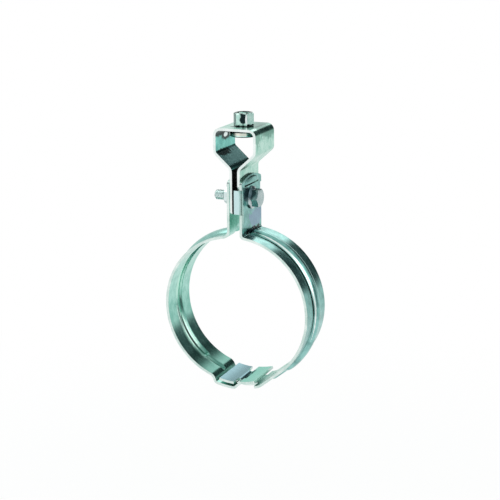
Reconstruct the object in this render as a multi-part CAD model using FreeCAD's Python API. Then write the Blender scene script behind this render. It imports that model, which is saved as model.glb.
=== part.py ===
"""Two-piece pipe hanger band for a 100A (4 inch) steel pipe.

A bent strap carries the band and turns under a swivel nut that takes the hanger rod. Two
pressed strip halves close round the pipe: they hook into each other at the bottom with a
T-shaped head in a slot, and a bolt clamps their ears to the legs of the strap at the top.

Frame: the pipe's axis is Y, X points to the bolt head, Z is up, and the origin is the middle
of the pipe seat. All lengths are millimetres and all angles degrees.
"""
import FreeCAD, Part
import math
import os

# Pipe seat and strip of the two band halves.
PIPE_DIAMETER = 114.3
SEAT_PLAY = 0.5
BAND_THICKNESS = 2.0
BAND_WIDTH = 38.6
BAND_BEND = 1.5

# Stiffening bead that is pressed outward along the middle of each half, and the lower rib
# that carries on from it, down the ramp of the hooked half and over the lip of the other
# half's recess. Angles are counted from straight down.
BEAD_HEIGHT = 3.0
BEAD_HALF_WIDTH = 6.5
BEAD_START_ANGLE = 179.0
BEAD_END_ANGLE = 40.0
RIB_HEIGHT = 2.0
RIB_HALF_WIDTH = 3.8
RAMP_RIB_LENGTH = 15.4

# Ears, measured from the bolt's axis.
BOLT_AXIS_HEIGHT = 86.8
EAR_SHOULDER_RISE = 14.2
EAR_CROWN_RISE = 18.2
EAR_CORNER = 1.0
LUG_HEIGHT = 18.5
LUG_DROP = 0.8
LUG_PLAY = 0.5
LUG_TIP = -0.4

# Hood that is lanced out of the hooked half's ear above the bolt head.
HOOD_SLIT_RISE = 11.8
HOOD_SLIT_GAP = 1.5
HOOD_HALF_WIDTH = 13.5
HOOD_HEIGHT = 5.0
HOOD_BULGE = 0.8
HOOD_WALL = 1.0

# Joint at the bottom: angles from straight down, positive towards the hooked half. The hooked
# half runs below the tab, rises through the slot and ends in its head inside the recess.
LAP_GAP = 2.0
HEAD_LIFT = 0.55
TAB_START_ANGLE = 4.3
TAB_END_ANGLE = 15.6
RECESS_DEPTH = 4.6
RECESS_START_ANGLE = 15.2
RECESS_SLOPE = 60.0
RECESS_LIP_BEND = 5.0
STEP_SLOPE = 42.0
STEP_BEND = 0.8
RAMP_BEND = 12.0
RAMP_END_ANGLE = 15.8
JOG_SLOPE = 50.0
JOG_TOP_ANGLE = 1.4
NECK_WIDTH = 20.0
SLOT_PLAY = 0.6
SLOT_OVERRUN_ANGLE = 1.0
SHOULDER_ANGLE = 14.2
HEAD_START_ANGLE = 1.9
HEAD_END_ANGLE = 13.9

# Strap that hangs from the swivel nut. The legs' heads, and the height below which the right
# leg is narrowed for the lugs, are measured from the bolt's axis.
STRAP_THICKNESS = 2.0
STRAP_WIDTH = 37.0
STRAP_SPAN = 34.8
STRAP_WALL_HEIGHT = 19.5
STRAP_INCLINE_HEIGHT = 12.0
LEG_GAP = 4.4
LEG_HEAD_RISE = 24.0
LEG_NARROW_RISE = 9.4
LEG_END_DROP = 10.9
LEG_CORNER = 2.5
STRAP_TOP_BEND = 3.5
STRAP_SHOULDER_BEND = 3.0
STRAP_FOOT_BEND = 4.5

# Swivel nut, tapped for an M10 rod.
SWIVEL_FLATS = 14.0
SWIVEL_HEX_HEIGHT = 9.7
SWIVEL_TURN = 38.0
SWIVEL_NECK_DIAMETER = 12.0
SWIVEL_RUNNING_FIT = 0.1
SWIVEL_END_PLAY = 0.3
SWIVEL_FLANGE_DIAMETER = 22.0
SWIVEL_FLANGE_HEIGHT = 6.0
SWIVEL_FLANGE_EDGE = 1.2
ROD_BORE_DIAMETER = 8.5
ROD_MOUTH_DIAMETER = 10.2

# M8 flange bolt, spring washer and nut.
BOLT_DIAMETER = 8.0
BOLT_LENGTH = 30.0
BOLT_FLATS = 13.0
BOLT_HEAD_HEIGHT = 7.7
BOLT_FLANGE_DIAMETER = 17.9
BOLT_FLANGE_EDGE = 1.2
BOLT_FLANGE_SLOPE = 25.0
BOLT_POINT = 1.0
BOLT_HOLE_PLAY = 0.5
NUT_HEIGHT = 6.5
NUT_THREAD_PLAY = 0.05
NUT_MOUTH = 0.5
WASHER_THICKNESS = 2.0
WASHER_DIAMETER = 15.0
WASHER_PLAY = 0.15
WASHER_SPLIT = 1.4
WASHER_SPLIT_SLANT = 25.0
HEX_CHAMFER_SLOPE = 30.0
HEX_FACE_RATIO = 0.96

# Worked out from the sizes above.
SEAT_RADIUS = PIPE_DIAMETER / 2 + SEAT_PLAY
BAND_RADIUS = SEAT_RADIUS + BAND_THICKNESS
LAP_RADIUS = BAND_RADIUS + LAP_GAP
HEAD_RADIUS = SEAT_RADIUS + HEAD_LIFT
RECESS_RADIUS = SEAT_RADIUS + RECESS_DEPTH
LEG_FACE = LEG_GAP / 2 + STRAP_THICKNESS
EAR_FACE = LEG_FACE + BAND_THICKNESS
LEG_WIDTH = BAND_WIDTH - 2 * (BAND_THICKNESS + LUG_PLAY)
LEG_END_HEIGHT = BOLT_AXIS_HEIGHT - LEG_END_DROP
LEG_HEAD_HEIGHT = BOLT_AXIS_HEIGHT + LEG_HEAD_RISE
STRAP_SHOULDER_HEIGHT = LEG_HEAD_HEIGHT + STRAP_INCLINE_HEIGHT
STRAP_TOP_HEIGHT = STRAP_SHOULDER_HEIGHT + STRAP_WALL_HEIGHT
EAR_SHOULDER_HEIGHT = BOLT_AXIS_HEIGHT + EAR_SHOULDER_RISE
EAR_CROWN_HEIGHT = BOLT_AXIS_HEIGHT + EAR_CROWN_RISE
BOLT_HOLE_RADIUS = BOLT_DIAMETER / 2 + BOLT_HOLE_PLAY
NECK_RADIUS = SWIVEL_NECK_DIAMETER / 2
PAST = 1.0
CORNER_REACH = 0.01

X_AXIS = FreeCAD.Vector(1, 0, 0)
Y_AXIS = FreeCAD.Vector(0, 1, 0)
Z_AXIS = FreeCAD.Vector(0, 0, 1)
ORIGIN = FreeCAD.Vector(0, 0, 0)
ORIGIN_PAIR = (0.0, 0.0)


def in_front_plane(point, y=0.0):
    """Turn an (x, z) pair into a point at the given depth."""
    return FreeCAD.Vector(point[0], y, point[1])


def on_ring(radius, angle):
    """Return the (x, z) point at a radius, by its angle from straight down."""
    turn = math.radians(angle)
    return (radius * math.sin(turn), -radius * math.cos(turn))


def unit(vector):
    """Return a vector of length one along the given (x, z) pair."""
    length = math.hypot(*vector)
    return (vector[0] / length, vector[1] / length)


def left_of(direction):
    """Return the unit vector a quarter turn to the left of a direction."""
    return (-direction[1], direction[0])


def moved(point, direction, distance):
    """Shift an (x, z) point along a direction."""
    return (point[0] + direction[0] * distance, point[1] + direction[1] * distance)


def bearing(centre, point):
    """Return the angle in degrees at which a point lies round a centre."""
    return math.degrees(math.atan2(point[1] - centre[1], point[0] - centre[0]))


class Straight:
    """A straight run of a bent strip, along its right-hand face."""

    def __init__(self, start, end):
        self.start = start
        self.end = end

    def edge(self, offset):
        """Return the edge that lies the given distance to the left of the run."""
        side = left_of(unit((self.end[0] - self.start[0], self.end[1] - self.start[1])))
        points = [in_front_plane(moved(point, side, offset)) for point in (self.start, self.end)]
        return Part.LineSegment(*points).toShape()


class Bow:
    """A round run of a bent strip, along its right-hand face, from one bearing to another."""

    def __init__(self, centre, radius, start, end):
        self.centre = centre
        self.radius = radius
        self.start = start
        self.end = end

    def at(self, bearing_angle, offset):
        """Return the point at a bearing, offset to the left of the run."""
        side = 1 if self.end < self.start else -1
        turn = math.radians(bearing_angle)
        reach = self.radius + side * offset
        return (self.centre[0] + reach * math.cos(turn), self.centre[1] + reach * math.sin(turn))

    def edge(self, offset):
        """Return the edge that lies the given distance to the left of the run."""
        middle = (self.start + self.end) / 2
        points = [in_front_plane(self.at(angle, offset)) for angle in (self.start, middle, self.end)]
        return Part.Arc(*points).toShape()


def bent_strip(runs, thickness, width):
    """Build a strip that follows the runs, centred across its width."""
    right = [run.edge(0.0) for run in runs]
    left = [run.edge(thickness) for run in runs]
    ends = [
        Part.LineSegment(right[0].firstVertex(True).Point, left[0].firstVertex(True).Point).toShape(),
        Part.LineSegment(right[-1].lastVertex(True).Point, left[-1].lastVertex(True).Point).toShape(),
    ]
    outline = Part.Wire(Part.__sortEdges__(right + left + ends))
    strip = Part.Face(outline).extrude(Y_AXIS * width)
    strip.translate(Y_AXIS * (-width / 2))
    return strip


def rounded_outline(points, radii):
    """Return a closed wire through 3-D points, with each corner rounded by its radius."""
    edges = []
    joints = []
    count = len(points)
    for index, (point, radius) in enumerate(zip(points, radii)):
        before = (points[index - 1] - point).normalize()
        after = (points[(index + 1) % count] - point).normalize()
        if radius <= 0:
            joints.append((point, point))
            continue
        half = before.getAngle(after) / 2
        reach = radius / math.tan(half)
        start = point + before * reach
        end = point + after * reach
        middle_way = (before + after).normalize()
        middle = point + middle_way * (radius / math.sin(half) - radius)
        joints.append((start, end))
        edges.append(Part.Arc(start, middle, end).toShape())
    for index in range(count):
        start = joints[index][1]
        end = joints[(index + 1) % count][0]
        if start.distanceToPoint(end) > 1e-6:
            edges.append(Part.LineSegment(start, end).toShape())
    return Part.Wire(Part.__sortEdges__(edges))


def prism(points, radii, direction):
    """Extrude a rounded outline along a vector."""
    return Part.Face(rounded_outline(points, radii)).extrude(direction)


def box(x_range, y_range, z_range):
    """Build a box from its three ranges."""
    size = [high - low for low, high in (x_range, y_range, z_range)]
    return Part.makeBox(*size, FreeCAD.Vector(x_range[0], y_range[0], z_range[0]))


def drilled_across(radius):
    """Return the drill for the bolt holes, along X at the height of the bolt."""
    start = FreeCAD.Vector(-STRAP_SPAN, 0, BOLT_AXIS_HEIGHT)
    return Part.makeCylinder(radius, 2 * STRAP_SPAN, start, X_AXIS)


def step_run(rise, slope, lip_bend=STEP_BEND):
    """Return the length along the strip that a step of this rise and slope takes up."""
    turn = math.radians(slope)
    bends = lip_bend + BAND_THICKNESS + STEP_BEND
    straight = (rise - bends * (1 - math.cos(turn))) / math.sin(turn)
    return bends * math.sin(turn) + straight * math.cos(turn)


def step_out(low_radius, low_angle, high_radius, high_angle, lip_bend=STEP_BEND):
    """Return the three runs of a step from one ring radius out to a larger one.

    The runs go towards falling angles, with the first bend centred outside the strip and the
    second inside it, and the straight between them tangent to both.
    """
    first_radius = lip_bend + BAND_THICKNESS
    first = on_ring(low_radius + first_radius, low_angle)
    second = on_ring(high_radius - STEP_BEND, high_angle)
    across = (second[0] - first[0], second[1] - first[1])
    distance = math.hypot(*across)
    lean = math.degrees(math.acos((first_radius + STEP_BEND) / distance))
    towards = math.degrees(math.atan2(across[1], across[0]))
    first_start = bearing(first, ORIGIN_PAIR)
    touch = towards - lean
    touch = nearest_turn(touch, first_start)
    outer = Bow(first, first_radius, first_start, touch)
    inner_start = nearest_turn(touch + 180, bearing(ORIGIN_PAIR, second))
    inner = Bow(second, STEP_BEND, inner_start, bearing(ORIGIN_PAIR, second))
    return [outer, Straight(outer.at(touch, 0.0), inner.at(inner_start, 0.0)), inner]


def nearest_turn(angle, reference):
    """Return the angle plus whole turns that lies nearest to a reference."""
    return angle + 360 * round((reference - angle) / 360)


def ear_and_ring(end_angle):
    """Return the runs of an ear, its bend and the ring down to the given angle from below."""
    reach = BAND_RADIUS + BAND_BEND
    centre_x = EAR_FACE + BAND_BEND
    centre = (centre_x, math.sqrt(reach ** 2 - centre_x ** 2))
    bend_radius = BAND_BEND + BAND_THICKNESS
    meets = bearing(ORIGIN_PAIR, centre)
    return [
        Straight((LEG_FACE, EAR_CROWN_HEIGHT), (LEG_FACE, centre[1])),
        Bow(centre, bend_radius, -180.0, meets - 180),
        Bow(ORIGIN_PAIR, SEAT_RADIUS, meets, end_angle - 90),
    ]


def bead_tools(height, half_width, start_angle, end_angle):
    """Return the raised form of a bead and the groove behind it, as round-ended ring pieces."""
    outer_radius = (height ** 2 + half_width ** 2) / (2 * height)
    ring_radius = BAND_RADIUS + height - outer_radius
    tools = []
    for tube in (outer_radius, outer_radius - BAND_THICKNESS):
        start = in_front_plane(on_ring(ring_radius, start_angle))
        end = in_front_plane(on_ring(ring_radius, end_angle))
        section = Part.Face(Part.Wire(Part.makeCircle(tube, start, start.cross(Y_AXIS))))
        sweep = section.revolve(ORIGIN, Y_AXIS, start_angle - end_angle)
        tools.append(sweep.fuse(Part.makeSphere(tube, end)))
    return tools


def press_bead(strip, height, half_width, start_angle, end_angle):
    """Press a bead outward into a strip, so that its wall keeps the strip's thickness."""
    raised, groove = bead_tools(height, half_width, start_angle, end_angle)
    seat = Part.makeCylinder(SEAT_RADIUS, 2 * BAND_WIDTH, Y_AXIS * -BAND_WIDTH, Y_AXIS)
    left_side = box((-2 * BAND_RADIUS, LEG_FACE), (-BAND_WIDTH, BAND_WIDTH),
                    (-2 * BAND_RADIUS, 2 * BAND_RADIUS))
    if start_angle > 90:
        raised = raised.cut(left_side)
    return strip.fuse(raised.cut(seat)).cut(groove)


def press_ramp_rib(strip, ramp_start):
    """Press the lower rib into the hooked half, from its bead straight down its ramp."""
    outer_radius = (RIB_HEIGHT ** 2 + RIB_HALF_WIDTH ** 2) / (2 * RIB_HEIGHT)
    ring_radius = BAND_RADIUS + RIB_HEIGHT - outer_radius
    start = in_front_plane(on_ring(ring_radius, ramp_start))
    way = in_front_plane(on_ring(1.0, ramp_start - 90))
    tools = bead_tools(RIB_HEIGHT, RIB_HALF_WIDTH, BEAD_END_ANGLE, ramp_start)
    for index, tube in enumerate((outer_radius, outer_radius - BAND_THICKNESS)):
        run = Part.makeCylinder(tube, RAMP_RIB_LENGTH, start, way)
        end = Part.makeSphere(tube, start + way * RAMP_RIB_LENGTH)
        tools[index] = tools[index].fuse([run, end])
    raised, groove = tools
    return strip.fuse(raised.cut(seat_side(ramp_start))).cut(groove)


def seat_side(ramp_start):
    """Return the space on the seat's side of the ring and of the straight ramp after it."""
    seat = Part.makeCylinder(SEAT_RADIUS, 2 * BAND_WIDTH, Y_AXIS * -BAND_WIDTH, Y_AXIS)
    corners = [(0.0, 0.0), (SEAT_RADIUS, 0.0), (SEAT_RADIUS, SEAT_RADIUS), (0.0, SEAT_RADIUS)]
    points = [FreeCAD.Vector(x, -BAND_WIDTH, z) for x, z in corners]
    wedge = prism(points, [0] * 4, Y_AXIS * (2 * BAND_WIDTH))
    wedge.rotate(ORIGIN, Y_AXIS, 180 - ramp_start)
    return seat.fuse(wedge)


def round_corners(strip, radius, corner):
    """Round the two edges that cross the strip at a (distance from the middle, z) corner."""
    edges = []
    for edge in strip.Edges:
        ends = [vertex.Point for vertex in edge.Vertexes]
        misses = [math.dist((abs(end.y), end.z), corner) for end in ends]
        if len(ends) == 2 and max(misses) < CORNER_REACH:
            edges.append(edge)
    return strip.makeFillet(radius, edges)


def trim_ear(strip):
    """Trim the ear's end to its arched outline with rounded corners."""
    side = BAND_WIDTH / 2
    rise = EAR_CROWN_HEIGHT - EAR_SHOULDER_HEIGHT
    arch_radius = (side ** 2 + rise ** 2) / (2 * rise)
    crown = FreeCAD.Vector(0, 0, EAR_CROWN_HEIGHT - arch_radius)
    arch = Part.makeCylinder(arch_radius, 2 * EAR_FACE, crown, X_AXIS)
    blank = box((0, 2 * EAR_FACE), (-side, side), (BOLT_AXIS_HEIGHT, EAR_CROWN_HEIGHT + PAST))
    strip = strip.cut(blank.cut(arch))
    return round_corners(strip, EAR_CORNER, (side, EAR_SHOULDER_HEIGHT))


def band_half(runs):
    """Build what both halves share: the bent strip with its main bead and its trimmed ear."""
    strip = trim_ear(bent_strip(runs, BAND_THICKNESS, BAND_WIDTH))
    return press_bead(strip, BEAD_HEIGHT, BEAD_HALF_WIDTH, BEAD_START_ANGLE, BEAD_END_ANGLE)


def lugs():
    """Build the two lugs that are bent inward from the hooked half's ear round the leg.

    The inside of each bend is no rounder than the play, so that the leg's square edge clears it.
    """
    inside = LEG_WIDTH / 2 + LUG_PLAY
    outside = inside + BAND_THICKNESS
    low = BOLT_AXIS_HEIGHT - LUG_DROP - LUG_HEIGHT / 2
    corners = [
        (LUG_TIP, -outside), (EAR_FACE, -outside), (EAR_FACE, outside), (LUG_TIP, outside),
        (LUG_TIP, inside), (LEG_FACE, inside), (LEG_FACE, -inside), (LUG_TIP, -inside),
    ]
    outer_bend = LUG_PLAY + BAND_THICKNESS
    radii = [0, outer_bend, outer_bend, 0, 0, LUG_PLAY, LUG_PLAY, 0]
    points = [FreeCAD.Vector(x, y, low) for x, y in corners]
    return prism(points, radii, Z_AXIS * LUG_HEIGHT)


def half_dome(depth, half_width, height, face):
    """Return the upper half of a flattened dome that stands on a face of the ear."""
    stretch = FreeCAD.Matrix()
    stretch.scale(depth, half_width, height)
    dome = Part.makeSphere(1.0, ORIGIN, Z_AXIS, 0, 90, 360).transformGeometry(stretch)
    dome.translate(FreeCAD.Vector(face, 0, BOLT_AXIS_HEIGHT + HOOD_SLIT_RISE))
    return dome


def add_hood(ear):
    """Lance the hood out of the ear: a half dome over a straight slit."""
    raised = half_dome(HOOD_BULGE, HOOD_HALF_WIDTH, HOOD_HEIGHT, EAR_FACE)
    hollow = half_dome(HOOD_BULGE, HOOD_HALF_WIDTH - HOOD_WALL, HOOD_HEIGHT - HOOD_WALL, LEG_FACE)
    slit_top = BOLT_AXIS_HEIGHT + HOOD_SLIT_RISE
    slit = box((0, 2 * EAR_FACE), (-HOOD_HALF_WIDTH, HOOD_HALF_WIDTH),
               (slit_top - HOOD_SLIT_GAP, slit_top))
    return ear.fuse(raised).cut(hollow).cut(slit)


def ring_sector(inner_radius, outer_radius, start_angle, end_angle, y_range):
    """Return a block of the ring between two radii, two angles from below and two depths."""
    runs = [Bow(ORIGIN_PAIR, inner_radius, start_angle - 90, end_angle - 90)]
    block = bent_strip(runs, outer_radius - inner_radius, y_range[1] - y_range[0])
    block.translate(Y_AXIS * (sum(y_range) / 2))
    return block


def hooked_half():
    """Build the half whose T-shaped head goes through the other half's slot."""
    second = on_ring(LAP_RADIUS - RAMP_BEND, RAMP_END_ANGLE)
    reach = (SEAT_RADIUS - RAMP_BEND) / (LAP_RADIUS - RAMP_BEND)
    ramp_start = RAMP_END_ANGLE + math.degrees(math.acos(reach))
    ramp_bend = Bow(second, RAMP_BEND, ramp_start - 90, RAMP_END_ANGLE - 90)
    jog = math.degrees(step_run(LAP_RADIUS - HEAD_RADIUS, JOG_SLOPE) / BAND_RADIUS)
    jog_foot = jog - JOG_TOP_ANGLE
    runs = ear_and_ring(ramp_start)
    runs.append(Straight(on_ring(SEAT_RADIUS, ramp_start), ramp_bend.at(ramp_start - 90, 0.0)))
    runs.append(ramp_bend)
    runs.append(Bow(ORIGIN_PAIR, LAP_RADIUS, RAMP_END_ANGLE - 90, jog_foot - 90))
    runs += mirrored_step(HEAD_RADIUS, LAP_RADIUS, jog_foot, -JOG_TOP_ANGLE)
    runs.append(Bow(ORIGIN_PAIR, HEAD_RADIUS, -JOG_TOP_ANGLE - 90, -HEAD_END_ANGLE - 90))
    half = press_ramp_rib(band_half(runs), ramp_start)
    half = add_hood(half.fuse(lugs())).cut(drilled_across(BOLT_HOLE_RADIUS))
    for side in (-1, 1):
        y_range = sorted((side * NECK_WIDTH / 2, side * BAND_WIDTH))
        half = half.cut(ring_sector(HEAD_RADIUS - PAST, LAP_RADIUS + BAND_THICKNESS + PAST,
                                    SHOULDER_ANGLE, -HEAD_START_ANGLE, y_range))
    return half.removeSplitter()


def slotted_half():
    """Build the half with the recess, the slot and the end tab.

    It is built on the right like the other half, with angles counted the other way, and
    mirrored to the left at the end.
    """
    lip = math.degrees(step_run(RECESS_DEPTH, RECESS_SLOPE, RECESS_LIP_BEND) / BAND_RADIUS)
    back = math.degrees(step_run(RECESS_DEPTH, STEP_SLOPE) / BAND_RADIUS)
    ring_end = RECESS_START_ANGLE + lip
    step_top = -TAB_START_ANGLE
    step_foot = step_top + back
    recess = step_out(SEAT_RADIUS, ring_end, RECESS_RADIUS, RECESS_START_ANGLE, RECESS_LIP_BEND)
    recess.append(Bow(ORIGIN_PAIR, RECESS_RADIUS, RECESS_START_ANGLE - 90, step_foot - 90))
    recess += mirrored_step(SEAT_RADIUS, RECESS_RADIUS, step_foot, step_top)
    runs = ear_and_ring(ring_end) + recess
    runs.append(Bow(ORIGIN_PAIR, SEAT_RADIUS, step_top - 90, -TAB_END_ANGLE - 90))
    half = band_half(runs)
    half = press_bead(half, RIB_HEIGHT, RIB_HALF_WIDTH, BEAD_END_ANGLE, RECESS_START_ANGLE)
    half = half.cut(inner_side(recess, ring_end, step_top))
    slot = NECK_WIDTH / 2 + SLOT_PLAY
    half = half.cut(ring_sector(SEAT_RADIUS - PAST, RECESS_RADIUS + BAND_THICKNESS + PAST,
                                step_foot + SLOT_OVERRUN_ANGLE, step_top - SLOT_OVERRUN_ANGLE,
                                (-slot, slot)))
    half = half.cut(drilled_across(BOLT_HOLE_RADIUS)).removeSplitter()
    return half.mirror(ORIGIN, X_AXIS)


def inner_side(runs, start_angle, end_angle):
    """Return the space between the seat's circle and the near face of runs that leave it."""
    edges = [run.edge(0.0) for run in runs]
    edges.append(Bow(ORIGIN_PAIR, SEAT_RADIUS, start_angle - 90, end_angle - 90).edge(0.0))
    space = Part.Face(Part.Wire(Part.__sortEdges__(edges))).extrude(Y_AXIS * BAND_WIDTH)
    space.translate(Y_AXIS * (-BAND_WIDTH / 2))
    return space


def mirrored_step(low_radius, high_radius, foot_angle, top_angle):
    """Return the runs of a step from a ring radius back in to a smaller one."""
    rising = step_out(low_radius, -top_angle, high_radius, -foot_angle)
    runs = []
    for run in reversed(rising):
        if isinstance(run, Straight):
            runs.append(Straight((-run.end[0], run.end[1]), (-run.start[0], run.start[1])))
        else:
            centre = (-run.centre[0], run.centre[1])
            runs.append(Bow(centre, run.radius, -180 - run.end, -180 - run.start))
    return runs


def turnbuckle_strap():
    """Build the strap: a flat top, two walls, two inclines and two parallel legs."""
    half_span = STRAP_SPAN / 2
    corners = [
        (LEG_FACE, LEG_END_HEIGHT), (LEG_FACE, LEG_HEAD_HEIGHT),
        (half_span, STRAP_SHOULDER_HEIGHT), (half_span, STRAP_TOP_HEIGHT),
    ]
    outer = corners + [(-x, z) for x, z in reversed(corners)]
    bends = [0, -STRAP_FOOT_BEND, STRAP_SHOULDER_BEND, STRAP_TOP_BEND]
    bends += list(reversed(bends))
    strap = folded_strip(outer, bends, STRAP_THICKNESS, STRAP_WIDTH)
    strap = strap.common(leg_outline(LEG_WIDTH, X_AXIS).fuse(leg_outline(STRAP_WIDTH, -X_AXIS)))
    plate_hole = NECK_RADIUS + SWIVEL_RUNNING_FIT
    foot = FreeCAD.Vector(0, 0, STRAP_SHOULDER_HEIGHT)
    strap = strap.cut(Part.makeCylinder(plate_hole, STRAP_TOP_HEIGHT, foot, Z_AXIS))
    return strap.cut(drilled_across(BOLT_HOLE_RADIUS)).removeSplitter()


def leg_outline(width, side):
    """Return the strap's outline on one side as a block, with its leg of the given width."""
    top = STRAP_WIDTH / 2
    leg = width / 2
    narrow = BOLT_AXIS_HEIGHT + LEG_NARROW_RISE
    wide = narrow + top - leg
    half = [(leg, LEG_END_HEIGHT), (leg, narrow), (top, wide), (top, STRAP_TOP_HEIGHT + PAST)]
    radii = [LEG_CORNER, LEG_CORNER, LEG_CORNER, 0]
    if leg == top:
        half = [half[0], half[-1]]
        radii = [LEG_CORNER, 0]
    outline = half + [(-y, z) for y, z in reversed(half)]
    points = [FreeCAD.Vector(0, y, z) for y, z in outline]
    return prism(points, radii + radii[::-1], side * STRAP_SPAN)


def folded_strip(corners, bends, thickness, width):
    """Build a strip folded at sharp-cornered (x, z) points of its right-hand face.

    A positive bend turns left and is the radius inside the fold, on the far face. A negative
    one turns right and is the radius on the given face.
    """
    ways = [unit((b[0] - a[0], b[1] - a[1])) for a, b in zip(corners, corners[1:])]
    far = [moved(corners[0], left_of(ways[0]), thickness)]
    for corner, before, after in zip(corners[1:-1], ways, ways[1:]):
        sides = (left_of(before), left_of(after))
        mitre = (sides[0][0] + sides[1][0], sides[0][1] + sides[1][1])
        share = 1 + sides[0][0] * sides[1][0] + sides[0][1] * sides[1][1]
        far.append(moved(corner, mitre, thickness / share))
    far.append(moved(corners[-1], left_of(ways[-1]), thickness))
    near_radii = [abs(bend) + (thickness if bend > 0 else 0) for bend in bends]
    far_radii = [abs(bend) + (thickness if bend < 0 else 0) for bend in bends]
    points = [in_front_plane(point, -width / 2) for point in corners + far[::-1]]
    return prism(points, near_radii + far_radii[::-1], Y_AXIS * width)


def hexagon(flats, height, base, direction, turn=0.0):
    """Build a hexagonal prism with two of its flats facing the turn's direction."""
    across = flats / math.sqrt(3)
    corners = []
    for index in range(6):
        angle = math.radians(60 * index + 30 + turn)
        corners.append(FreeCAD.Vector(across * math.cos(angle), across * math.sin(angle), 0))
    solid = prism(corners, [0] * 6, Z_AXIS * height)
    solid.Placement = FreeCAD.Placement(base, FreeCAD.Rotation(Z_AXIS, direction))
    return solid


def chamfer_cone(flats, height, base, direction, both_ends):
    """Return the turned body that takes the corners off a hexagon's ends."""
    corner = flats / math.sqrt(3)
    face = flats * HEX_FACE_RATIO / 2
    drop = (corner - face) * math.tan(math.radians(HEX_CHAMFER_SLOPE))
    profile = [(0, 0), (face if both_ends else corner, 0)]
    if both_ends:
        profile.append((corner, drop))
    profile += [(corner, height - drop), (face, height), (0, height)]
    points = [FreeCAD.Vector(r, 0, z) for r, z in profile]
    body = Part.Face(rounded_outline(points, [0] * len(points))).revolve(ORIGIN, Z_AXIS, 360)
    body.Placement = FreeCAD.Placement(base, FreeCAD.Rotation(Z_AXIS, direction))
    return body


def chamfered_hexagon(flats, height, base, direction, turn=0.0, both_ends=False):
    """Build a hexagon with its top, or both ends, chamfered as on a machined nut."""
    solid = hexagon(flats, height, base, direction, turn)
    return solid.common(chamfer_cone(flats, height, base, direction, both_ends))


def turned(profile, base, direction):
    """Revolve a profile of (radius, distance) pairs about an axis through a base point."""
    points = [FreeCAD.Vector(radius, 0, distance) for radius, distance in profile]
    body = Part.Face(rounded_outline(points, [0] * len(points))).revolve(ORIGIN, Z_AXIS, 360)
    body.Placement = FreeCAD.Placement(base, FreeCAD.Rotation(Z_AXIS, direction))
    return body


def swivel_nut():
    """Build the nut that turns in the strap's top: hexagon, neck and flange in one piece."""
    top = STRAP_TOP_HEIGHT + SWIVEL_END_PLAY
    underside = STRAP_TOP_HEIGHT - STRAP_THICKNESS
    head = chamfered_hexagon(SWIVEL_FLATS, SWIVEL_HEX_HEIGHT, Z_AXIS * top, Z_AXIS, SWIVEL_TURN)
    neck = Part.makeCylinder(NECK_RADIUS, top - underside + PAST, Z_AXIS * (underside - PAST / 2))
    flange = Part.makeCylinder(SWIVEL_FLANGE_DIAMETER / 2, SWIVEL_FLANGE_HEIGHT,
                               Z_AXIS * (underside - SWIVEL_FLANGE_HEIGHT))
    flange = flange.makeFillet(SWIVEL_FLANGE_EDGE, [edge for edge in flange.Edges if edge.Closed])
    bore_radius = ROD_BORE_DIAMETER / 2
    mouth_radius = ROD_MOUTH_DIAMETER / 2
    mouth = mouth_radius - bore_radius
    low = underside - SWIVEL_FLANGE_HEIGHT
    high = top + SWIVEL_HEX_HEIGHT
    bore = turned([
        (0, low - PAST), (mouth_radius, low - PAST), (mouth_radius, low), (bore_radius, low + mouth),
        (bore_radius, high - mouth), (mouth_radius, high), (mouth_radius, high + PAST), (0, high + PAST),
    ], ORIGIN, Z_AXIS)
    return head.fuse([neck, flange]).cut(bore).removeSplitter()


def clamp_bolt():
    """Build the flange bolt, with its head against the hooked half's ear."""
    seat = FreeCAD.Vector(EAR_FACE, 0, BOLT_AXIS_HEIGHT)
    head = chamfered_hexagon(BOLT_FLATS, BOLT_HEAD_HEIGHT, seat, X_AXIS)
    rim = BOLT_FLANGE_DIAMETER / 2
    collar = BOLT_FLATS / 2 - PAST
    rise = (rim - collar) * math.tan(math.radians(BOLT_FLANGE_SLOPE))
    flange = turned([
        (0, 0), (rim, 0), (rim, BOLT_FLANGE_EDGE), (collar, BOLT_FLANGE_EDGE + rise),
        (0, BOLT_FLANGE_EDGE + rise),
    ], seat, X_AXIS)
    radius = BOLT_DIAMETER / 2
    shank = turned([
        (0, -PAST), (radius, -PAST), (radius, BOLT_LENGTH - BOLT_POINT),
        (radius - BOLT_POINT, BOLT_LENGTH), (0, BOLT_LENGTH),
    ], seat, -X_AXIS)
    return head.fuse([flange, shank]).removeSplitter()


def spring_washer():
    """Build the spring washer, clamped flat, with its slanting split."""
    face = FreeCAD.Vector(-EAR_FACE, 0, BOLT_AXIS_HEIGHT)
    ring = Part.makeCylinder(WASHER_DIAMETER / 2, WASHER_THICKNESS, face, -X_AXIS)
    bore_radius = BOLT_DIAMETER / 2 + WASHER_PLAY
    ring = ring.cut(Part.makeCylinder(bore_radius, WASHER_THICKNESS, face, -X_AXIS))
    middle = -EAR_FACE - WASHER_THICKNESS / 2
    split = box((middle - WASHER_THICKNESS, middle + WASHER_THICKNESS),
                (-WASHER_SPLIT / 2, WASHER_SPLIT / 2),
                (BOLT_AXIS_HEIGHT, BOLT_AXIS_HEIGHT + WASHER_DIAMETER))
    split.rotate(FreeCAD.Vector(middle, 0, BOLT_AXIS_HEIGHT), Z_AXIS, WASHER_SPLIT_SLANT)
    return ring.cut(split)


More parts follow.
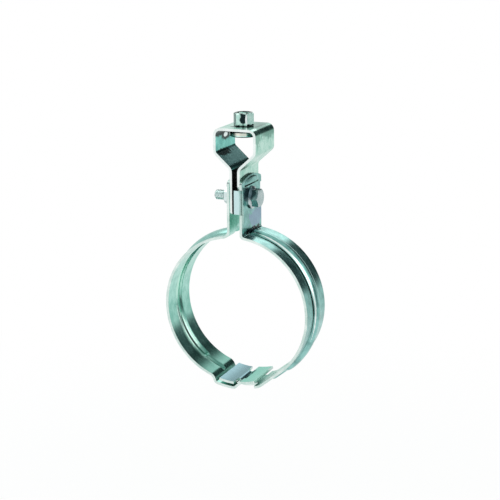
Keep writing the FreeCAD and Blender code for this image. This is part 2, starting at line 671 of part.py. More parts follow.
def clamp_nut():
    """Build the hexagon nut, chamfered on both faces, run down on the spring washer."""
    seat = FreeCAD.Vector(-EAR_FACE - WASHER_THICKNESS, 0, BOLT_AXIS_HEIGHT)
    body = chamfered_hexagon(BOLT_FLATS, NUT_HEIGHT, seat, -X_AXIS, both_ends=True)
    bore_radius = BOLT_DIAMETER / 2 + NUT_THREAD_PLAY
    mouth_radius = bore_radius + NUT_MOUTH
    bore = turned([
        (0, -PAST), (mouth_radius, -PAST), (mouth_radius, 0), (bore_radius, NUT_MOUTH),
        (bore_radius, NUT_HEIGHT - NUT_MOUTH), (mouth_radius, NUT_HEIGHT),
        (mouth_radius, NUT_HEIGHT + PAST), (0, NUT_HEIGHT + PAST),
    ], seat, -X_AXIS)
    return body.cut(bore).removeSplitter()


def main():
    """Build every piece and write it to its own file."""
    pieces = {
        "turnbuckle_strap": turnbuckle_strap(),
        "hooked_band_half": hooked_half(),
        "slotted_band_half": slotted_half(),
        "swivel_nut": swivel_nut(),
        "clamp_bolt": clamp_bolt(),
        "spring_washer": spring_washer(),
        "clamp_nut": clamp_nut(),
    }
    os.makedirs("parts", exist_ok=True)
    for name, shape in pieces.items():
        shape.exportStep("parts/" + name + ".step")
        print(name, "solids", len(shape.Solids), "valid", shape.isValid(), "volume", round(shape.Volume))


main()
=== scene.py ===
"""Pipe hanger band of zinc-plated steel, dressed for its picture.

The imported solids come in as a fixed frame. Every piece is built again here as a finer mesh with
rolled and sheared edges, pressed beads and cut threads, rides on its solid's body and takes its
solid's place in the picture. Sizes are millimetres in the classes and metres in the meshes.
"""
import logging
import math
from dataclasses import dataclass
from enum import Enum
from typing import Callable, Iterable, Sequence

import bmesh
import bpy
import numpy as np
from mathutils import Matrix, Vector


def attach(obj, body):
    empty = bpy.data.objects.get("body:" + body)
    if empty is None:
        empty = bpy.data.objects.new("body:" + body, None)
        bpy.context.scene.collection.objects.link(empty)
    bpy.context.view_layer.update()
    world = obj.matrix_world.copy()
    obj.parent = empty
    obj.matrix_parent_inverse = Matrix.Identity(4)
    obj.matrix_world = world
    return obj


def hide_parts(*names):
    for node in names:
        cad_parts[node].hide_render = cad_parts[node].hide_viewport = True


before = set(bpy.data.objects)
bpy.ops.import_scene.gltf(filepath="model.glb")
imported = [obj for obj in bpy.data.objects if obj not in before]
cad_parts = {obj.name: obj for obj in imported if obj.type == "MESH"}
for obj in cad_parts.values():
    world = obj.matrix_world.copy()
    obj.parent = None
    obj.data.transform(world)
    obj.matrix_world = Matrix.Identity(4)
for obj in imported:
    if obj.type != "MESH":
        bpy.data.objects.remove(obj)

LOG = logging.getLogger("pipe_hanger_band")
MM = 0.001
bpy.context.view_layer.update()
# Edges shorter than this, in metres, are taken out of a new mesh.
SLIVER = 1e-7
# A ring of this radius in millimetres stands for the closed middle of a round face.
POINT = 0.01
# Rolled and cold-formed hexagons reach this share of a full corner.
CORNER_SHARE = 0.993
# The height of the bolt's axis in millimetres, which six pieces share.
BOLT_HEIGHT = 86.8

Pair = tuple[float, float]
Triple = tuple[float, float, float]
Face = tuple[int, ...]
Surface = tuple[list[Vector], list[Face]]
# A point on a strip's base face with the left-hand normal there.
Base = tuple[Pair, Pair]


# Colours and shader nodes.


def linear(hex_code: str) -> tuple[float, float, float, float]:
    """Turn an sRGB hex colour into the linear colour that shaders take.

    Args:
        hex_code: six hex digits after a hash.

    Returns:
        Linear red, green, blue and an alpha of one.
    """
    parts = [int(hex_code[i:i + 2], 16) / 255 for i in (1, 3, 5)]
    # The sRGB curve has a straight foot below 0.04045 and a power of 2.4 above it.
    values = [p / 12.92 if p <= 0.04045 else ((p + 0.055) / 1.055) ** 2.4 for p in parts]
    return (values[0], values[1], values[2], 1.0)


def add_node(tree: bpy.types.NodeTree, kind: str, settings: dict | None = None,
             links: dict | None = None) -> bpy.types.Node:
    """Add a node with its settings and the links into it.

    Args:
        tree: the node tree to add to.
        kind: the node's type name.
        settings: attributes, or input values where the key is a socket's name or number.
        links: output sockets by the name or number of the input that each feeds.

    Returns:
        The new node.
    """
    node = tree.nodes.new(kind)
    for key, value in (settings or {}).items():
        if isinstance(key, str) and hasattr(node, key):
            setattr(node, key, value)
        else:
            node.inputs[key].default_value = value
    for key, socket in (links or {}).items():
        tree.links.new(socket, node.inputs[key])
    return node


class Grain(Enum):
    """How many times as long as they are wide the maker's marks are along x, y and z."""

    ALONG_STRIP = (15.0, 1.0, 15.0)
    ALONG_BOLT = (12.0, 1.2, 1.2)
    FORMED = (2.4, 2.4, 2.4)


@dataclass(frozen=True)
class PaintedLightAndStain:
    """A patch of colour on the plating: mostly painted shade and painted highlights, and a few
    places where the film dried in another colour.

    The middle and the reach along each axis are in millimetres. The patch is whole within its
    core, which is a share of the reach, and fades out at a rim that noise makes ragged.
    """

    colour: str
    middle: Triple
    reach: Triple
    ragged: float = 0.5
    strength: float = 1.0
    core: float = 0.65

    def lay(self, tree: bpy.types.NodeTree, place: bpy.types.NodeSocket,
            noise: bpy.types.NodeSocket, under: bpy.types.NodeSocket) -> bpy.types.NodeSocket:
        """Mix the patch over a colour.

        Args:
            tree: the material's node tree.
            place: the object coordinates in metres.
            noise: the noise that makes the patch's outline ragged.
            under: the colour below the patch.

        Returns:
            The colour with the patch on it.
        """
        scale = tuple(1 / (reach * MM) for reach in self.reach)
        moved = add_node(tree, "ShaderNodeMapping",
                         {"Scale": scale,
                          "Location": tuple(-m * MM * k for m, k in zip(self.middle, scale))},
                         {"Vector": place})
        far = add_node(tree, "ShaderNodeVectorMath", {"operation": "LENGTH"},
                       {0: moved.outputs["Vector"]})
        edge = add_node(tree, "ShaderNodeMath", {"operation": "MULTIPLY_ADD", 1: self.ragged},
                        {0: noise, 2: far.outputs["Value"]})
        share = add_node(tree, "ShaderNodeMapRange",
                         {"interpolation_type": "SMOOTHSTEP",
                          "From Min": self.core + self.ragged / 2,
                          "From Max": 1.0 + self.ragged / 2,
                          "To Min": self.strength, "To Max": 0.0},
                         {"Value": edge.outputs["Value"]})
        over = add_node(tree, "ShaderNodeMix", {"data_type": "RGBA", 7: linear(self.colour)},
                        {0: share.outputs["Result"], 6: under})
        return over.outputs[2]


@dataclass(frozen=True)
class ZincPlating:
    """Bright zinc plating with a blue-green passivated film over pressed steel.

    It gives the eye a cool mirror that is slightly cloudy: clouds of tint a few millimetres
    wide, fine marks of the mill or the lathe, and patches of painted shade and painted highlight,
    with a few where the film dried in another colour.
    The tint is the colour of the thin film and the film that of the thick one. The share of the
    marks in the tint is called streaks.
    """

    name: str
    tint: str
    film: str
    roughness: float
    grain: Grain
    cloud_mm: float = 7.0
    ragged_mm: float = 2.6
    mark_mm: float = 0.5
    mark_depth_mm: float = 0.012
    wave_mm: float = 4.0
    wave_depth_mm: float = 0.05
    streaks: float = 0.4
    painted_light_and_stains: tuple[PaintedLightAndStain, ...] = ()

    def material(self) -> bpy.types.Material:
        """Build the plating as a node material.

        Returns:
            The new material.
        """
        material = bpy.data.materials.new(self.name)
        material.use_nodes = True
        tree = material.node_tree
        shader = tree.nodes["Principled BSDF"]
        shader.inputs["Metallic"].default_value = 1.0
        place = add_node(tree, "ShaderNodeTexCoord")
        # A passivation bath drains off in clouds that are 5 to 10 mm wide.
        clouds = add_node(tree, "ShaderNodeTexNoise",
                          {"Scale": 1 / (self.cloud_mm * MM), "Detail": 3.0, "Roughness": 0.55},
                          {"Vector": place.outputs["Object"]})
        # The marks are about 0.05 mm wide in life and drawn ten times as coarse to show.
        stretch = add_node(tree, "ShaderNodeMapping",
                           {"Scale": tuple(1 / times for times in self.grain.value)},
                           {"Vector": place.outputs["Object"]})
        marks = add_node(tree, "ShaderNodeTexNoise",
                         {"Scale": 1 / (self.mark_mm * MM), "Detail": 2.0, "Roughness": 0.6},
                         {"Vector": stretch.outputs["Vector"]})
        both = add_node(tree, "ShaderNodeMix", {0: self.streaks},
                        {2: clouds.outputs["Fac"], 3: marks.outputs["Fac"]})
        # The noise keeps mostly between 0.4 and 0.6, so the two colours stand there.
        tint = add_node(tree, "ShaderNodeValToRGB", {}, {"Fac": both.outputs[0]})
        tint.color_ramp.elements[0].position = 0.40
        tint.color_ramp.elements[0].color = linear(self.film)
        tint.color_ramp.elements[1].position = 0.60
        tint.color_ramp.elements[1].color = linear(self.tint)
        # The patches' edges wander by two or three millimetres.
        ragged = add_node(tree, "ShaderNodeTexNoise",
                          {"Scale": 1 / (self.ragged_mm * MM), "Detail": 2.0},
                          {"Vector": place.outputs["Object"]})
        colour = tint.outputs["Color"]
        # Most patches are painted shade and painted highlights; a few are places where the film
        # dried in another colour.
        for patch in self.painted_light_and_stains:
            colour = patch.lay(tree, place.outputs["Object"], ragged.outputs["Fac"], colour)
        tree.links.new(colour, shader.inputs["Base Color"])
        # The marks themselves are a little duller than the metal between them.
        dull = add_node(tree, "ShaderNodeMapRange",
                        {"From Min": 0.3, "From Max": 0.7, "To Min": self.roughness - 0.05,
                         "To Max": self.roughness + 0.07}, {"Value": marks.outputs["Fac"]})
        tree.links.new(dull.outputs["Result"], shader.inputs["Roughness"])
        # Sheet from the mill is never quite flat: soft waves about 4 mm long bend reflections.
        waves = add_node(tree, "ShaderNodeTexNoise",
                         {"Scale": 1 / (self.wave_mm * MM), "Detail": 1.0},
                         {"Vector": place.outputs["Object"]})
        soft = add_node(tree, "ShaderNodeBump",
                        {"Strength": 0.35, "Distance": self.wave_depth_mm * MM},
                        {"Height": waves.outputs["Fac"]})
        fine = add_node(tree, "ShaderNodeBump",
                        {"Strength": 0.5, "Distance": self.mark_depth_mm * MM},
                        {"Height": marks.outputs["Fac"], "Normal": soft.outputs["Normal"]})
        tree.links.new(fine.outputs["Normal"], shader.inputs["Normal"])
        return material


# Helpers for meshes.


class FaceKind(Enum):
    """The three finishes of a bent strip, by their order on the piece."""

    OUTSIDE = 0
    INSIDE = 1
    EDGE = 2


def new_piece(name: str, points: Sequence[Sequence[float]], faces: Sequence[Sequence[int]],
              kinds: Sequence[int] = (), merge_mm: float = 0.002) -> bpy.types.Object:
    """Make an object from points in millimetres and faces by index.

    Args:
        name: the object's name.
        points: the points, in millimetres.
        faces: the faces as lists of point numbers.
        kinds: the number of each face's finish, or nothing where there is one finish.
        merge_mm: points nearer than this become one.

    Returns:
        The new object, linked to the scene.
    """
    mesh = bpy.data.meshes.new(name)
    mesh.from_pydata([[c * MM for c in point] for point in points], [], [list(f) for f in faces])
    for _ in range(max(kinds, default=0) + 1):
        mesh.materials.append(None)
    if kinds:
        mesh.polygons.foreach_set("material_index", list(kinds))
    work = bmesh.new()
    work.from_mesh(mesh)
    loose = [v for v in work.verts if not v.link_faces]
    bmesh.ops.delete(work, geom=loose, context="VERTS")
    bmesh.ops.remove_doubles(work, verts=work.verts, dist=merge_mm * MM)
    bmesh.ops.dissolve_degenerate(work, edges=work.edges, dist=SLIVER)
    bmesh.ops.recalc_face_normals(work, faces=work.faces)
    work.to_mesh(mesh)
    work.free()
    piece = bpy.data.objects.new(name, mesh)
    bpy.context.scene.collection.objects.link(piece)
    return piece


def baked(piece: bpy.types.Object) -> None:
    """Apply all of a piece's modifiers to its mesh.

    Args:
        piece: the piece, whose mesh is replaced.
    """
    graph = bpy.context.evaluated_depsgraph_get()
    mesh = bpy.data.meshes.new_from_object(piece.evaluated_get(graph))
    mesh.name = piece.name
    piece.modifiers.clear()
    piece.data = mesh


def drill(piece: bpy.types.Object, radius: float, start: Vector, end: Vector) -> None:
    """Cut a round hole through a piece.

    Args:
        piece: the closed mesh to cut.
        radius: the hole's radius in millimetres.
        start: one end of the drill, in millimetres.
        end: the other end.
    """
    # The hole is a polygon of this many sides.
    count = 48
    turn = (end - start).to_track_quat("Z", "Y").to_matrix()
    ring = [turn @ Vector((radius * math.cos(a), radius * math.sin(a), 0))
            for a in np.linspace(0, 2 * math.pi, count, endpoint=False)]
    points = [start + p for p in ring] + [end + p for p in ring]
    faces: list[Face] = [tuple(range(count))[::-1], tuple(range(count, 2 * count))]
    for i in range(count):
        j = (i + 1) % count
        faces.append((i, j, j + count, i + count))
    cutter = new_piece("drill", points, faces, [FaceKind.EDGE.value] * len(faces))
    cut = piece.modifiers.new("drill", "BOOLEAN")
    cut.operation = "DIFFERENCE"
    cut.solver = "EXACT"
    cut.object = cutter
    baked(piece)
    bpy.data.objects.remove(cutter)


def soften_edges(piece: bpy.types.Object, radius: float, segments: int = 2,
                 limit_deg: float = 38.0) -> None:
    """Round the sharp edges a little and shade the rest smooth.

    Args:
        piece: the piece to finish.
        radius: the edge radius in millimetres.
        segments: steps across the rounding.
        limit_deg: edges that turn by more than this are rounded.
    """
    for polygon in piece.data.polygons:
        polygon.use_smooth = True
    edge = piece.modifiers.new("edge", "BEVEL")
    edge.width = radius * MM
    edge.segments = segments
    edge.limit_method = "ANGLE"
    edge.angle_limit = math.radians(limit_deg)
    edge.use_clamp_overlap = True
    edge.miter_outer = "MITER_ARC"
    # The large faces rule the shading, so that they stay flat beside their rounded edges.
    shade = piece.modifiers.new("shade", "WEIGHTED_NORMAL")
    shade.keep_sharp = True
    shade.weight = 80
    baked(piece)


def thick_sheet(outer: np.ndarray, inner: np.ndarray, keep: np.ndarray
                ) -> tuple[list[list[float]], list[Face], list[int]]:
    """Join two matching grids of points into one closed sheet.

    Args:
        outer: points of the outer face, rows by columns by 3.
        inner: points of the inner face.
        keep: which cells of the grid are metal.

    Returns:
        The points and faces of the sheet, and the kind of each face.
    """
    rows, columns = outer.shape[:2]
    shift = rows * columns
    points = np.concatenate([outer.reshape(-1, 3), inner.reshape(-1, 3)]).tolist()
    faces: list[Face] = []
    kinds: list[int] = []

    def is_metal(row: int, column: int) -> bool:
        """Return whether a cell exists and is kept."""
        return 0 <= row < rows - 1 and 0 <= column < columns - 1 and bool(keep[row, column])

    for i in range(rows - 1):
        for j in range(columns - 1):
            if not keep[i, j]:
                continue
            a = i * columns + j
            b, c, d = a + 1, a + columns + 1, a + columns
            faces.append((a, b, c, d))
            faces.append((d + shift, c + shift, b + shift, a + shift))
            kinds += [FaceKind.OUTSIDE.value, FaceKind.INSIDE.value]
            sides = (((a, b), (i - 1, j)), ((b, c), (i, j + 1)),
                     ((c, d), (i + 1, j)), ((d, a), (i, j - 1)))
            for (p, q), beyond in sides:
                if not is_metal(*beyond):
                    faces.append((q, p, p + shift, q + shift))
                    kinds.append(FaceKind.EDGE.value)
    return points, faces, kinds


def between(start: float, end: float, count: int) -> list[float]:
    """Return evenly spaced values from start up to but not including end."""
    return list(np.linspace(start, end, count, endpoint=False))


def middles(columns: Sequence[float]) -> np.ndarray:
    """Return the middle of each cell between neighbouring columns."""
    return np.array([(a + b) / 2 for a, b in zip(columns, columns[1:])])


# Bent strip.


@dataclass(frozen=True)
class StraightRun:
    """A straight run along a strip's base face, as (x, z) points."""

    start: Pair
    end: Pair

    def sample(self, count: int) -> list[Base]:
        """Sample the run, without its end.

        Args:
            count: how many samples.

        Returns:
            The points with their left-hand normals.
        """
        dx, dz = self.end[0] - self.start[0], self.end[1] - self.start[1]
        length = math.hypot(dx, dz)
        normal = (-dz / length, dx / length)
        return [((self.start[0] + dx * t, self.start[1] + dz * t), normal)
                for t in between(0, 1, count)]


@dataclass(frozen=True)
class RoundRun:
    """A round run along a strip's base face, between two bearings in degrees."""

    centre: Pair
    radius: float
    start: float
    end: float

    def at(self, bearing: float) -> Base:
        """Find the run's point at a bearing.

        Args:
            bearing: the bearing in degrees from the centre.

        Returns:
            The point with its left-hand normal.
        """
        side = 1 if self.end < self.start else -1
        turn = math.radians(bearing)
        way = (math.cos(turn), math.sin(turn))
        point = (self.centre[0] + self.radius * way[0], self.centre[1] + self.radius * way[1])
        return point, (way[0] * side, way[1] * side)

    def sample(self, count: int) -> list[Base]:
        """Return that many points with their left-hand normals, without the run's end."""
        return [self.at(bearing) for bearing in between(self.start, self.end, count)]


def on_ring(radius: float, angle: float) -> Pair:
    """Return the (x, z) point at a radius, by its angle from straight down."""
    turn = math.radians(angle)
    return (radius * math.sin(turn), -radius * math.cos(turn))


def bearing_of(centre: Pair, point: Pair) -> float:
    """Return the bearing in degrees of a point round a centre."""
    return math.degrees(math.atan2(point[1] - centre[1], point[0] - centre[0]))


def near(angle: float, reference: float) -> float:
    """Return the angle, with whole turns added, that lies nearest to a reference."""
    return angle + 360 * round((reference - angle) / 360)


Runs = list[StraightRun | RoundRun]


@dataclass(frozen=True)
class Step:
    """A step of the strip between two ring radii, with a lip and a foot bend.

    The rise, the thickness and the radii inside the bends are in millimetres, the slope is in
    degrees.
    """

    rise: float
    slope: float
    thickness: float = 2.0
    foot_bend: float = 0.8
    lip_bend: float = 0.8

    def angle(self, radius: float) -> float:
        """Work out the angle that the step takes up on a ring.

        Args:
            radius: the ring's radius.

        Returns:
            The angle in degrees.
        """
        turn = math.radians(self.slope)
        bends = self.thickness + self.lip_bend + self.foot_bend
        straight = (self.rise - bends * (1 - math.cos(turn))) / math.sin(turn)
        return math.degrees((bends * math.sin(turn) + straight * math.cos(turn)) / radius)

    def outward(self, low_radius: float, low_angle: float, high_angle: float) -> Runs:
        """Lay the step from the smaller radius out, towards falling angles.

        Args:
            low_radius: the smaller radius of the strip's base face.
            low_angle: where the strip leaves it, in degrees from straight down.
            high_angle: where the strip arrives on the larger radius.

        Returns:
            The bend at the lip, the slope and the bend at the foot.
        """
        first_radius = self.lip_bend + self.thickness
        first = on_ring(low_radius + first_radius, low_angle)
        second = on_ring(low_radius + self.rise - self.foot_bend, high_angle)
        lean = math.degrees(math.acos((first_radius + self.foot_bend) / math.dist(first, second)))
        first_start = bearing_of(first, (0.0, 0.0))
        touch = near(bearing_of(first, second) - lean, first_start)
        outer = RoundRun(first, first_radius, first_start, touch)
        end = bearing_of((0.0, 0.0), second)
        inner = RoundRun(second, self.foot_bend, near(touch + 180, end), end)
        return [outer, StraightRun(outer.at(touch)[0], inner.at(inner.start)[0]), inner]

    def inward(self, low_radius: float, foot_angle: float, top_angle: float) -> Runs:
        """Lay the step from the larger radius back in, towards falling angles.

        Args:
            low_radius: the smaller radius of the strip's base face.
            foot_angle: where the strip leaves the larger radius.
            top_angle: where it arrives on the smaller one.

        Returns:
            The mirrored runs of the step outward, in reverse order.
        """
        turned: Runs = []
        for run in reversed(self.outward(low_radius, -top_angle, -foot_angle)):
            if isinstance(run, StraightRun):
                turned.append(StraightRun((-run.end[0], run.end[1]),
                                          (-run.start[0], run.start[1])))
            else:
                turned.append(RoundRun((-run.centre[0], run.centre[1]), run.radius,
                                       -180 - run.end, -180 - run.start))
        return turned


@dataclass(frozen=True)
class Bead:
    """A pressed bead: its height, half its width outside, and the angle that it ends at.

    Its end along the ring is as round as its section. The ring's radius turns angles into
    lengths there. The soft crease beside the bead ends where it rises less than the cut-off.
    """

    height: float
    half_width: float
    end_angle: float
    ring_radius: float = 60.0
    cut_off: float = 0.02

    def rise(self, y: float, angle: float, thickness: float, at_face: float,
             blend: float = 0.4) -> float:
        """Return how far a face of the strip is pushed outward.

        Args:
            y: the distance from the band's middle.
            angle: the angle from straight down.
            thickness: the strip's thickness.
            at_face: zero for the outer face, one for the inner.
            blend: the size of the soft crease beside the bead.

        Returns:
            The push in millimetres.
        """
        crown = (self.height ** 2 + self.half_width ** 2) / (2 * self.height)
        radius = crown - at_face * thickness
        past = max(0.0, self.end_angle - angle) * math.pi / 180 * self.ring_radius
        away = math.hypot(y, past)
        arc = self.height - radius + math.sqrt(max(radius ** 2 - away ** 2, 0.0))
        arc = arc if away < radius else self.height - radius - (away - radius)
        lift = 0.5 * (arc + math.sqrt(arc ** 2 + blend ** 2))
        full = 0.5 * (self.height + math.sqrt(self.height ** 2 + blend ** 2))
        return max(0.0, lift - self.cut_off) * self.height / full


@dataclass
class BandHalf:
    """What both pressed halves of the band share: ear, bend, ring, bead and rib.

    The lengths are in millimetres. The seat is the pipe's radius with its play, the leg face
    half the distance between the strap's legs outside, and the bend the radius inside the bend
    between ear and ring. The creases are columns of the mesh that the bead's soft foot needs.
    """

    name: str = "band_half"
    node: str = "band_half"
    seat: float = 57.65
    thickness: float = 2.0
    half_width: float = 19.3
    leg_face: float = 4.2
    bend: float = 1.5
    bolt_height: float = BOLT_HEIGHT
    shoulder: float = 101.0
    crown: float = 105.0
    corner: float = 1.0
    bead: Bead = Bead(3.0, 6.5, 40.0)
    rib: Bead = Bead(2.0, 3.8, 24.0)
    rib_blend: float = 0.3
    foot_angle: float = 170.0
    hole_radius: float = 4.5
    edge_radius: float = 0.42
    creases: tuple[float, ...] = (7.0, 6.5, 6.1, 5.6)
    foot_rows: int = 9
    ring_rows: int = 118

    @property
    def ear_face(self) -> float:
        """Return the ear's outer face."""
        return self.leg_face + self.thickness

    def ear_top(self, y: float) -> float:
        """Find the height of the ear's arched end.

        Args:
            y: the distance from the band's middle.

        Returns:
            The height, lower within the rounded corner.
        """
        rise = self.crown - self.shoulder
        radius = (self.half_width ** 2 + rise ** 2) / (2 * rise)
        top = self.crown - radius + math.sqrt(radius ** 2 - y * y)
        inset = self.half_width - abs(y)
        if inset < self.corner:
            top -= self.corner - math.sqrt(self.corner ** 2 - (self.corner - inset) ** 2)
        return top

    def arc(self, radius: float, start_angle: float, end_angle: float) -> RoundRun:
        """Return a run round the pipe's axis between two angles from straight down."""
        return RoundRun((0.0, 0.0), radius, start_angle - 90, end_angle - 90)

    def push(self, y: float, angle: float, at_face: float) -> float:
        """Return how far bead and rib push a face outward."""
        return max(self.bead.rise(y, angle, self.thickness, at_face),
                   self.rib.rise(y, angle, self.thickness, at_face, self.rib_blend))

    def foot(self, y: float, at_face: float) -> Pair:
        """Find the bend at the ear's foot, which touches the ear and the pushed-out ring.

        Args:
            y: the distance from the band's middle.
            at_face: zero for the outer face, one for the inner.

        Returns:
            The height of the bend's centre and the bend's radius.
        """
        ring = self.seat + self.thickness * (1 - at_face) + self.push(y, self.foot_angle, at_face)
        radius = self.bend + self.thickness * at_face
        reach = ring + radius
        return math.sqrt(reach ** 2 - (self.ear_face + self.bend) ** 2), radius

    def foot_points(self, y: float, at_face: float) -> list[Pair]:
        """Go round the bend between ear and ring.

        Args:
            y: the distance from the band's middle.
            at_face: zero for the outer face, one for the inner.

        Returns:
            The points, from the ear on.
        """
        height, radius = self.foot(y, at_face)
        centre = (self.ear_face + self.bend, height)
        end = bearing_of((0.0, 0.0), centre) + 180
        return [(centre[0] + radius * math.cos(math.radians(b)),
                 centre[1] + radius * math.sin(math.radians(b)))
                for b in between(180, end, self.foot_rows)]

    def ring_points(self, y: float, at_face: float, end_angle: float) -> list[Pair]:
        """Go down the ring from the bend.

        Args:
            y: the distance from the band's middle.
            at_face: zero for the outer face, one for the inner.
            end_angle: where the joint's end starts, in degrees from straight down.

        Returns:
            The points, from the bend on.
        """
        height, _ = self.foot(y, at_face)
        start = 180 - math.degrees(math.atan2(self.ear_face + self.bend, height))
        points = []
        for angle in between(start, end_angle, self.ring_rows):
            base = self.seat + self.thickness * (1 - at_face)
            points.append(on_ring(base + self.push(y, angle, at_face), angle))
        return points

    def tail_points(self, y: float, at_face: float, tail: list[Base]) -> list[Pair]:
        """Go along the joint's end, pushed out by the rib.

        Args:
            y: the distance from the band's middle.
            at_face: zero for the outer face, one for the inner.
            tail: base points and normals of the joint's end.

        Returns:
            The points, from the ring on.
        """
        points = []
        for (x, z), (nx, nz) in tail:
            angle = math.degrees(math.atan2(x, -z))
            off = self.thickness * (1 - at_face) + self.push(y, angle, at_face)
            points.append((x + nx * off, z + nz * off))
        return points

    def assemble(self, columns: Sequence[float], tail: list[Base], ring_end: float,
                 ear_rows: Callable[[float, float], list[Pair]]) -> tuple[np.ndarray, np.ndarray]:
        """Build the two faces of the half as grids.

        Args:
            columns: the distance of each column from the middle.
            tail: base points and normals of the joint's end.
            ring_end: the angle at which the ring ends and the tail starts.
            ear_rows: gives a column's ear points on a face.

        Returns:
            The outer and the inner grid.
        """
        faces = []
        for at_face in (0.0, 1.0):
            lines = []
            for y in columns:
                line = ear_rows(y, at_face)
                line += self.foot_points(y, at_face)
                line += self.ring_points(y, at_face, ring_end)
                line += self.tail_points(y, at_face, tail)
                lines.append([(x, y, z) for x, z in line])
            faces.append(np.array(lines).transpose(1, 0, 2))
        return faces[0], faces[1]

    def complete(self, outer: np.ndarray, inner: np.ndarray, keep: np.ndarray,
                 side: int) -> bpy.types.Object:
        """Join the two grids, drill the bolt's hole and round the sheared edges.

        Args:
            outer: the outer grid.
            inner: the inner grid.
            keep: the cells that are metal.
            side: plus one where the ear stands on the right, minus one on the left.

        Returns:
            The new object.
        """
        piece = new_piece(self.name, *thick_sheet(outer, inner, keep))
        drill(piece, self.hole_radius, Vector((0, 0, self.bolt_height)),
              Vector((side * 2 * self.ear_face, 0, self.bolt_height)))
        soften_edges(piece, self.edge_radius, 3)
        return piece


